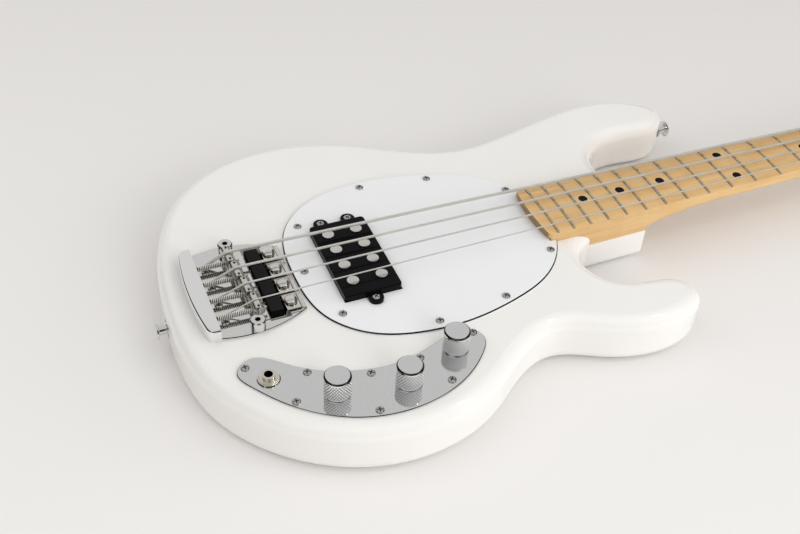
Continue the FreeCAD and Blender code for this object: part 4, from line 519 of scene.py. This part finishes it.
def wound_wire():
    """Round-wound string: fine turns along its length."""
    paint = Paint("wound_wire", WIRE_METALLIC)
    turns = paint.add("ShaderNodeTexWave", wave_type="BANDS", bands_direction="X")
    turns.inputs["Scale"].default_value = WIRE_TURNS
    paint.join(paint.spot(), turns.inputs["Vector"])
    paint.colour(paint.tones(paint.noise(WIRE_CLOUD), *WIRE_TONES))
    paint.roughness(paint.noise(WIRE_MARKS), *WIRE_ROUGHNESS)
    paint.bump(turns.outputs["Fac"], *WIRE_BUMP)
    return paint.material


# Mesh helpers
SMOOTH_ANGLE = 40.0
CLEAN_GAP = 0.004 * MM
ISLAND_GAP = 0.01 * MM
ORIGIN = Vector((0, 0, 0))
SECOND_MATERIAL = 1


def make_object(name, mesh, body=ROOT, angle=SMOOTH_ANGLE):
    """A piece that rides on a body, shaded smooth up to an angle."""
    mesh.shade_smooth()
    mesh.set_sharp_from_angle(angle=math.radians(angle))
    piece = bpy.data.objects.new(name, mesh)
    SCENE.collection.objects.link(piece)
    if body:
        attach(piece, body)
    return piece


def skin(name, rows):
    """A mesh over closed rows of points, with flat caps on its first and last row."""
    count = len(rows[0])
    points = [tuple(point) for row in rows for point in row]
    faces = []
    for first in range(0, len(points) - count, count):
        second = first + count
        for k in range(count):
            after = (k + 1) % count
            faces.append((first + k, first + after, second + after, second + k))
    faces.append(tuple(reversed(range(count))))
    faces.append(tuple(range(len(points) - count, len(points))))
    mesh = bpy.data.meshes.new(name)
    mesh.from_pydata(points, [], faces)
    return mesh


def clean(mesh):
    """Join points that coincide and drop faces without area."""
    work = bmesh.new()
    work.from_mesh(mesh)
    bmesh.ops.remove_doubles(work, verts=work.verts, dist=CLEAN_GAP)
    bmesh.ops.dissolve_degenerate(work, dist=CLEAN_GAP, edges=work.edges)
    work.to_mesh(mesh)
    work.free()


def spokes(count):
    """Cosine and sine of evenly spread turns."""
    turns = [math.tau * k / count for k in range(count)]
    return [(math.cos(turn), math.sin(turn)) for turn in turns]


def ring(centre, radius, z, count):
    """Points of a level circle."""
    return [Vector((centre.x + radius * along, centre.y + radius * across, z))
            for along, across in spokes(count)]


def heading(path, k):
    """The way that a path takes at one of its points."""
    return (path[min(k + 1, len(path) - 1)] - path[max(k - 1, 0)]).normalized()


def tube_rows(path, radius, sides):
    """Rings of a round tube along a path."""
    rows = []
    side = heading(path, 0).orthogonal().normalized()
    for k, point in enumerate(path):
        way = heading(path, k)
        side = (side - way * side.dot(way)).normalized()
        other = way.cross(side)
        rows.append([point + (side * along + other * across) * radius for along, across in spokes(sides)])
    return rows


def islands(node):
    """Low corner, high corner and points of each separate solid of a node, in order of place."""
    work = bmesh.new()
    work.from_mesh(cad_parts[node].data)
    bmesh.ops.remove_doubles(work, verts=work.verts, dist=ISLAND_GAP)
    left = set(work.verts)
    found = []
    while left:
        front = [left.pop()]
        group = []
        while front:
            vertex = front.pop()
            group.append(vertex.co.copy())
            for edge in vertex.link_edges:
                other = edge.other_vert(vertex)
                if other in left:
                    left.discard(other)
                    front.append(other)
        low = Vector([min(point[axis] for point in group) for axis in range(3)])
        high = Vector([max(point[axis] for point in group) for axis in range(3)])
        found.append((low, high, group))
    work.free()
    return sorted(found, key=lambda solid: tuple(solid[0]))


def reaches(points, centre):
    """How far each point lies from an upright axis, with its height."""
    return [((point.xy - centre.xy).length, point.z) for point in points]


def string_centre(number):
    low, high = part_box(f"saddle_{number}")
    return (low.y + high.y) / 2


def nearest_string(y):
    return min(STRINGS, key=lambda number: abs(string_centre(number) - y))


# Small screws with a cross in their head
SCREW_RINGS = 12
SCREW_SPOKES = 48
SCREW_RIM_SHARE = 0.45
SCREW_WIDEST_SHARE = 0.97
SCREW_AXIS_GAP = 0.1 * MM
# Turn of the cross for each metre along x and y, so that no two look alike
SCREW_TURN_X = 40
SCREW_TURN_Y = 25
CROSS_WIDTH = 0.55 * MM
CROSS_REACH_SHARE = 0.62
CROSS_DEPTH = 1.0 * MM
CROSS_SHADE_SHARE = 0.75


def screw_head_rows(radius, height):
    """Rings of a domed head with a cross cut into it, from its rim to its middle."""
    rows = [ring(ORIGIN, radius, 0, SCREW_SPOKES)]
    for step in range(SCREW_RINGS):
        share = 1 - step / SCREW_RINGS
        dome = math.sqrt(max(0.0, 1 - share ** 2))
        row = []
        for along, across in spokes(SCREW_SPOKES):
            x = radius * share * along
            y = radius * share * across
            z = height * (SCREW_RIM_SHARE + (1 - SCREW_RIM_SHARE) * dome)
            thin = min(abs(x), abs(y)) < CROSS_WIDTH / 2
            if thin and max(abs(x), abs(y)) < radius * CROSS_REACH_SHARE:
                z -= CROSS_DEPTH
            row.append(Vector((x, y, z)))
        rows.append(row)
    return rows


def make_screws(name, node, material, recess):
    """One piece with the heads of all the screws of a node, on their shanks."""
    whole = bmesh.new()
    for low, high, points in islands(node):
        centre = (low + high) / 2
        reach = reaches(points, centre)
        widest = max(away for away, z in reach)
        rim = [z for away, z in reach if away > widest * SCREW_WIDEST_SHARE]
        upward = sum(rim) / len(rim) > centre.z
        seat = min(rim) if upward else max(rim)
        height = (high.z - seat) if upward else (seat - low.z)
        depth = (seat - low.z) if upward else (high.z - seat)
        shank = min(away for away, z in reach if abs(z - seat) > widest and away > SCREW_AXIS_GAP)
        rows = [ring(ORIGIN, shank, z, SCREW_SPOKES) for z in (-depth, 0)]
        rows += screw_head_rows(widest, height)
        part = skin(name + "_part", rows)
        for face in part.polygons:
            middle = face.center
            arm = min(abs(middle.x), abs(middle.y)) < CROSS_WIDTH * CROSS_SHADE_SHARE
            if middle.z > 0 and arm and middle.xy.length < widest * CROSS_REACH_SHARE:
                face.material_index = SECOND_MATERIAL
        turn = Matrix.Identity(4) if upward else Matrix.Rotation(math.pi, 4, "X")
        spin = Matrix.Rotation(centre.x * SCREW_TURN_X + centre.y * SCREW_TURN_Y, 4, "Z")
        part.transform(Matrix.Translation((centre.x, centre.y, seat)) @ turn @ spin)
        whole.from_mesh(part)
        bpy.data.meshes.remove(part)
    mesh = bpy.data.meshes.new(name)
    whole.to_mesh(mesh)
    whole.free()
    mesh.materials.append(material)
    mesh.materials.append(recess)
    piece = make_object(name, mesh)
    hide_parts(node)


# Knobs with a cut diamond pattern
KNURL_COUNT = 28
KNURL_SPOKES = 8
KNURL_RISE_SHARE = 1.45
KNURL_DEPTH = 0.4 * MM
KNURL_STEP = 0.33 * MM
KNURL_METALLIC = 0.4
KNURL_COLOUR = (0.97, 0.97, 0.97)
KNURL_MARKS = 300.0
KNURL_ROUGHNESS = (0.36, 0.44)
# A ridge rises over half a step of the pattern, and has painted shade up to the shade's first height
KNURL_FOLD = 0.5
KNURL_SHADE = (0.06, 0.16)
VALLEY_SHADE_COLOUR = (0.01, 0.01, 0.011)
KNOB_SPOKES = KNURL_SPOKES * KNURL_COUNT
KNOB_BASE_RING = 1.1 * MM
KNOB_TOP_BAND = 1.6 * MM
KNOB_CHAMFER = 1.2 * MM
KNOB_SOFTENING = 0.15 * MM
KNOB_LIFT = 0.25 * MM
KNOB_BORE_SHARE = 0.66
KNOB_TOP_SHARES = (0.9, 0.5, 0.05)
KNOB_SMOOTH_ANGLE = 35.0
# Places of the other materials beside that of the sides, which is 0
KNOB_TOP = 1
KNOB_KNURL = 2
# The bevel's material is a painted dark reflection
KNOB_DARK_REFLECTION = 3


def wave(value):
    """A triangle wave between 0 and 1 with a period of 1."""
    return 1 - abs(2 * (value % 1.0) - 1)


def knurled_metal(name, centre, level, pitch):
    """Chrome with painted shade in the valleys of a diamond pattern cut around an axis."""
    paint = Paint(name, KNURL_METALLIC)
    axes = paint.split(paint.spot())
    x, y, z = (paint.calculate("SUBTRACT", axes[axis], middle)
               for axis, middle in zip("XYZ", (centre.x, centre.y, level)))
    around = paint.calculate("MULTIPLY", paint.calculate("ARCTAN2", y, x), KNURL_COUNT / math.tau)
    ridges = []
    for way in (1, -1):
        place = paint.calculate("MULTIPLY_ADD", z, way / (pitch * KNURL_RISE_SHARE), around)
        ridges.append(paint.calculate("PINGPONG", place, KNURL_FOLD))
    height = paint.fold("MINIMUM", ridges)
    paint.colour(paint.blend(paint.spread(height, *KNURL_SHADE), VALLEY_SHADE_COLOUR, KNURL_COLOUR))
    paint.roughness(paint.noise(KNURL_MARKS), *KNURL_ROUGHNESS)
    return paint.material


def make_knob(node, sides, top, bevel):
    """A knob with soft edges, a pattern cut into its side and a bevelled cap, with a painted dark
    reflection on the bevel.
    """
    low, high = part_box(node)
    centre = (low + high) / 2
    radius = (high.x - low.x) / 2
    inner = radius - KNOB_CHAMFER
    soft = KNOB_SOFTENING
    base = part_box("control_plate")[1].z + KNOB_LIFT
    band = high.z - KNOB_CHAMFER
    knurl_low = base + KNOB_BASE_RING
    knurl_high = band - KNOB_TOP_BAND
    pitch = math.tau * radius / KNURL_COUNT
    knurl = knurled_metal(node + "_knurl", centre, knurl_low, pitch)
    # Height, radius and whether the pattern is cut there
    levels = [(base, radius * KNOB_BORE_SHARE, 0), (base, radius - soft, 0), (base + soft, radius, 0),
              (knurl_low, radius, 0)]
    steps = round((knurl_high - knurl_low) / KNURL_STEP)
    levels += [(knurl_low + (knurl_high - knurl_low) * k / steps, radius, 1) for k in range(steps + 1)]
    levels += [(knurl_high, radius, 0), (band - soft, radius, 0), (band + soft, radius - soft, 0),
               (high.z - soft, inner + soft, 0), (high.z, inner - soft, 0)]
    levels += [(high.z, inner * share, 0) for share in KNOB_TOP_SHARES]
    rows = []
    for z, outer, cut in levels:
        rise = (z - knurl_low) / (pitch * KNURL_RISE_SHARE)
        row = []
        for k, (along, across) in enumerate(spokes(KNOB_SPOKES)):
            place = k / KNURL_SPOKES
            ridge = min(wave(place + rise), wave(place - rise))
            reach = outer - cut * KNURL_DEPTH * (1 - ridge)
            row.append(Vector((centre.x + reach * along, centre.y + reach * across, z)))
        rows.append(row)
    mesh = skin(node + "_dressed", rows)
    clean(mesh)
    for material in (sides, top, knurl, bevel):
        mesh.materials.append(material)
    for face in mesh.polygons:
        middle = face.center
        if middle.z > band:
            face.material_index = KNOB_TOP if (middle.xy - centre.xy).length < inner else KNOB_DARK_REFLECTION
        elif knurl_low < middle.z < knurl_high:
            face.material_index = KNOB_KNURL
    piece = make_object(node + "_dressed", mesh, node + "_body", KNOB_SMOOTH_ANGLE)
    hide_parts(node)


# Springs behind the saddles
SPRING_LENGTH = 22.0 * MM
SPRING_TURNS = 15.5
SPRING_STEPS = 16
SPRING_SIDES = 10
SPRING_WIRE = 0.42 * MM
# How far in a face of a turn gets painted shade
SPRING_INSIDE_SHARE = 0.2


def make_springs(material, inside):
    """Coil springs, with painted shade on the inside of their turns."""
    for low, high, _ in islands("intonation_springs"):
        y = (low.y + high.y) / 2
        z = (low.z + high.z) / 2
        number = nearest_string(y)
        radius = (high.z - low.z) / 2 - SPRING_WIRE
        start = low.x + SPRING_WIRE
        length = high.x - SPRING_WIRE - start
        turns = round(SPRING_TURNS * length / SPRING_LENGTH)
        count = turns * SPRING_STEPS
        path = []
        for k in range(count + 1):
            turn = math.tau * k / SPRING_STEPS
            x = start + length * k / count
            path.append(Vector((x, y + radius * math.sin(turn), z + radius * math.cos(turn))))
        mesh = skin(f"spring_{number}", tube_rows(path, SPRING_WIRE, SPRING_SIDES))
        mesh.materials.append(material)
        mesh.materials.append(inside)
        # Painted shade on the inside of the turns
        for face in mesh.polygons:
            if (face.center.yz - Vector((y, z))).length < radius + SPRING_WIRE * SPRING_INSIDE_SHARE:
                face.material_index = SECOND_MATERIAL
        piece = make_object(f"spring_{number}", mesh, None)
        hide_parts("intonation_springs")
        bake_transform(piece)


# Leaf springs of the mutes
PLATE_THICKNESS = 2.0 * MM
LEAF_THICKNESS = 0.9 * MM
LEAF_BEND = 1.2 * MM
LEAF_BEND_STEPS = 5
LEAF_FOOT = 3.0 * MM
LEAF_RISE = 1.4 * MM
LEAF_SLANT = 1.2 * MM
LEAF_PAD_GAP = 0.6 * MM
LEAF_EDGE = 0.15 * MM
LEAF_EDGE_STEPS = 2
# Corners of the strip's section, across its thickness and its width
LEAF_SECTION = ((1, -1), (1, 1), (-1, 1), (-1, -1))


def rounded_path(corners, radius, steps):
    """A path through corners with its bends rounded."""
    path = [corners[0]]
    for before, corner, after in zip(corners, corners[1:], corners[2:]):
        reach = min(radius, (before - corner).length / 2, (after - corner).length / 2)
        start = corner + (before - corner).normalized() * reach
        end = corner + (after - corner).normalized() * reach
        for k in range(steps + 1):
            share = k / steps
            path.append(start * (1 - share) ** 2 + corner * 2 * share * (1 - share) + end * share ** 2)
    path.append(corners[-1])
    return path


def make_leaves(material):
    """Bent strips from a foot on the bridge plate to a tongue under each pad."""
    for low, high, _ in islands("mute_springs"):
        y = (low.y + high.y) / 2
        width = high.y - low.y
        number = nearest_string(y)
        _, pad_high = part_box(f"mute_pad_{number}")
        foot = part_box("bridge_plate")[0].z + PLATE_THICKNESS + LEAF_THICKNESS / 2
        tongue = low.z + LEAF_THICKNESS / 2
        shelf = high.z - LEAF_THICKNESS / 2
        drop = pad_high.x + LEAF_PAD_GAP + LEAF_THICKNESS / 2
        corners = [Vector((x, 0, z)) for x, z in (
            (high.x, foot), (high.x - LEAF_FOOT, foot), (high.x - LEAF_FOOT - LEAF_RISE, shelf),
            (drop + LEAF_SLANT, shelf), (drop, tongue), (low.x, tongue))]
        path = rounded_path(corners, LEAF_BEND, LEAF_BEND_STEPS)
        rows = []
        for k, point in enumerate(path):
            way = heading(path, k)
            normal = Vector((-way.z, 0, way.x)) * (LEAF_THICKNESS / 2)
            rows.append([Vector((point.x, y + across * width / 2, point.z)) + normal * side
                         for side, across in LEAF_SECTION])
        mesh = skin(f"mute_leaf_{number}", rows)
        mesh.materials.append(material)
        piece = make_object(f"mute_leaf_{number}", mesh, None)
        bevel = piece.modifiers.new("edges", "BEVEL")
        bevel.width = LEAF_EDGE
        bevel.segments = LEAF_EDGE_STEPS
        bevel.limit_method = "ANGLE"
        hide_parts("mute_springs")
        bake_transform(piece)


# Thumb screws of the mutes; the gaps and shares find the parts of the CAD solid
THUMB_SPOKES = 56
THUMB_RINGS = 12
THUMB_TIP_GAP = 0.1 * MM
THUMB_SEAT_GAP = 0.05 * MM
THUMB_SEAT_SHARE = 0.8
THUMB_EDGE_SHARE = 0.99
THUMB_TIP_SHARE = 0.1
THUMB_DOME_SHARE = 0.99


def make_thumbs(material):
    """Thumb screws with a smooth dome over the rim of the CAD solid."""
    for number in STRINGS:
        node = f"mute_screw_{number}"
        low, high, points = islands(node)[0]
        centre = (low + high) / 2
        wide = (high.x - low.x) / 2
        reach = reaches(points, centre)
        shank = max(away for away, z in reach if z < low.z + THUMB_TIP_GAP)
        seat = min(z for away, z in reach if away > wide * THUMB_SEAT_SHARE)
        edge = [z for away, z in reach if away > wide * THUMB_EDGE_SHARE]
        foot = max(away for away, z in reach if z < seat + THUMB_SEAT_GAP)
        levels = [(shank * THUMB_TIP_SHARE, low.z), (shank, low.z), (shank, seat), (foot, seat),
                  (wide, min(edge))]
        for step in range(THUMB_RINGS + 1):
            turn = math.pi / 2 * step / THUMB_RINGS * THUMB_DOME_SHARE
            levels.append((wide * math.cos(turn), max(edge) + (high.z - max(edge)) * math.sin(turn)))
        rows = [ring(centre, radius, z, THUMB_SPOKES) for radius, z in levels]
        mesh = skin(node + "_smooth", rows)
        mesh.materials.append(material)
        piece = make_object(node + "_smooth", mesh, node + "_body")
        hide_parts(node)


# Pads of the mutes
PAD_ROUND = 0.9 * MM
PAD_ROUND_STEPS = 3
PAD_PROFILE = 0.6
PAD_CUTS = 2
PAD_DENT = 0.35 * MM
PAD_DENT_REACH = 3.0 * MM
PAD_DROOP = 0.15 * MM
PAD_SMOOTH_ANGLE = 60.0


def make_pads(material):
    """Foam blocks with soft edges, a dent under the string and drooping ends."""
    for number in STRINGS:
        node = f"mute_pad_{number}"
        low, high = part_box(node)
        size = high - low
        middle = (low + high) / 2
        string = string_centre(number)
        work = bmesh.new()
        bmesh.ops.create_cube(work, size=1.0)
        for vertex in work.verts:
            vertex.co = Vector([low[axis] + size[axis] * (vertex.co[axis] + 0.5) for axis in range(3)])
        bmesh.ops.bevel(work, geom=work.edges[:], offset=PAD_ROUND, segments=PAD_ROUND_STEPS,
                        affect="EDGES", profile=PAD_PROFILE)
        bmesh.ops.subdivide_edges(work, edges=work.edges[:], cuts=PAD_CUTS, use_grid_fill=True)
        for vertex in work.verts:
            away = (vertex.co.xy - middle.xy).length / (size.y / 2)
            aside = abs(vertex.co.y - string)
            if vertex.co.z > high.z - PAD_ROUND:
                vertex.co.z -= PAD_DENT * max(0.0, 1 - aside / PAD_DENT_REACH)
                vertex.co.z -= PAD_DROOP * away ** 2
        mesh = bpy.data.meshes.new(node + "_foam")
        work.to_mesh(mesh)
        work.free()
        mesh.materials.append(material)
        piece = make_object(node + "_foam", mesh, node + "_body", PAD_SMOOTH_ANGLE)
        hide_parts(node)


# Strings, parted over the saddle
STRING_GAP = 0.005 * MM
STRING_SMOOTH_ANGLE = 50.0


def make_strings(material):
    for number in STRINGS:
        node = f"string_{number}"
        saddle_low, saddle_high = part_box(f"saddle_{number}")
        crest = (saddle_low.x + saddle_high.x) / 2
        for part, keep_front in (("tail", False), ("run", True)):
            work = bmesh.new()
            work.from_mesh(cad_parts[node].data)
            bmesh.ops.remove_doubles(work, verts=work.verts, dist=STRING_GAP)
            geometry = work.verts[:] + work.edges[:] + work.faces[:]
            bmesh.ops.bisect_plane(work, geom=geometry, plane_co=(crest, 0, 0), plane_no=(1, 0, 0),
                                   clear_inner=keep_front, clear_outer=not keep_front)
            rim = [edge for edge in work.edges if edge.is_boundary]
            bmesh.ops.holes_fill(work, edges=rim, sides=0)
            mesh = bpy.data.meshes.new(f"{node}_{part}")
            work.to_mesh(mesh)
            work.free()
            clean(mesh)
            mesh.materials.clear()
            mesh.materials.append(material)
            piece = make_object(f"{node}_{part}", mesh, None, STRING_SMOOTH_ANGLE)
            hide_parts(node)
            if keep_front:
                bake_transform(piece)
            else:
                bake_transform(piece)


# All materials, and what shows on the CAD solids
GRUB_WIDEST = 6.0 * MM
GRUB_SOCKET = 1.0 * MM
BOLT_SOCKET = 2.35 * MM
PLATE_EDGE_RISE = 4.7 * MM
# Where a paler colour begins and is full, along x, and that colour; the screws are painted dark as shade
# inside their springs, and keep their own pale colour in front of the saddles
THREAD_TIP = (-9.0 * MM, -6.0 * MM, (0.78, 0.76, 0.72))
# The bridge plate's hood is painted paler, a painted brighter reflection
HOOD_PAINTED_LIGHT = (-33.0 * MM, -34.0 * MM, (0.95, 0.95, 0.94))
# Paler top of the pads, painted light
TOP_LIGHT_COLOUR = (0.014, 0.014, 0.014)
DRESSED = {
    "white_lacquer": ("body",),
    "maple_board": ("neck", "fretboard"),
    "guard_laminate": ("pickguard",),
    "fret_crown": ("frets",),
    "satin_nickel": ("pickup_poles",),
    "black_moulding": ("pickup_cover", "position_markers"),
    "bone": ("nut",),
    "spring_steel": ("truss_rod", "neck_screws", "potentiometers", "headstock_screws"),
    "plate_chrome": ("control_plate",),
    "bridge_chrome": ("bridge_plate",),
    "polished_chrome": ("neck_plate", "string_retainer", "tuner_housings", "tuner_bushings",
                        "strap_buttons"),
    "bolt_chrome": ("bridge_bolts",),
    "jack_nickel": ("output_jack",),
    "coil_copper": ("pickup_coils",),
    "board_resin": ("preamp_board",),
    "battery_case": ("battery",),
}
# The same for nodes of which there is one for each string
DRESSED_BY_STRING = {
    "saddle_nickel": ("saddle",),
    "painted_shade_steel": ("intonation_screw",),
    "polished_chrome": ("tuner_key", "tuner_post"),
}


def make_looks():
    """Every material by its name, apart from those of the floor and of the knobs' pattern."""
    bolts = [((low + high) / 2).xy for low, high, _ in islands("bridge_bolts")]
    saddle_parts = [part for number in STRINGS for part in islands(f"saddle_{number}")]
    grubs = [(low, high) for low, high, _ in saddle_parts if high.y - low.y < GRUB_WIDEST]
    grub_places = [((low + high) / 2).xy for low, high in grubs]
    # Level below which the plates' bevels get a painted dark reflection
    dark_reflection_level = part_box("mute_springs")[0].z + PLATE_EDGE_RISE
    extras = {
        "bolt_chrome": {"holes": (bolts, BOLT_SOCKET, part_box("bridge_bolts")[1].z)},
        "saddle_nickel": {"holes": (grub_places, GRUB_SOCKET, min(high.z for low, high in grubs))},
        "plate_chrome": {"dark_reflection_level": dark_reflection_level},
        "bridge_chrome": {"dark_reflection_level": dark_reflection_level, "tip": HOOD_PAINTED_LIGHT},
        "painted_shade_steel": {"tip": THREAD_TIP},
        "pad_foam": {"lit_top": TOP_LIGHT_COLOUR},
    }
    made = {"white_lacquer": lacquer(), "guard_laminate": laminate(), "maple_board": maple(),
            "wound_wire": wound_wire()}
    made.update({name: metal(name, **extras.get(name, {})) for name in METALS})
    made.update({name: moulded(name, **extras.get(name, {})) for name in MOULDINGS})
    return made


def dress(material, node):
    """Give a CAD node a material."""
    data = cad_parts[node].data
    data.materials.clear()
    data.materials.append(material)


make_camera()
make_floor()
make_world()
make_lamps()
SCENE.view_settings.view_transform = "Standard"
looks = make_looks()
for look, nodes in DRESSED.items():
    for node in nodes:
        dress(looks[look], node)
for look, nodes in DRESSED_BY_STRING.items():
    for node in nodes:
        for number in STRINGS:
            dress(looks[look], f"{node}_{number}")
recess = looks["recess_shade"]
make_screws("plate_screw_heads", "plate_screws", looks["screw_head"], recess)
make_screws("bridge_screw_heads", "bridge_screws", looks["bridge_screw_head"], recess)
for knob in KNOBS:
    make_knob(knob, looks["polished_chrome"], looks["brushed_cap"], looks["knob_dark_reflection"])
make_springs(looks["spring_steel"], looks["painted_shade_steel"])
make_leaves(looks["leaf_nickel"])
make_thumbs(looks["thumb_nickel"])
make_pads(looks["pad_foam"])
make_strings(looks["wound_wire"])
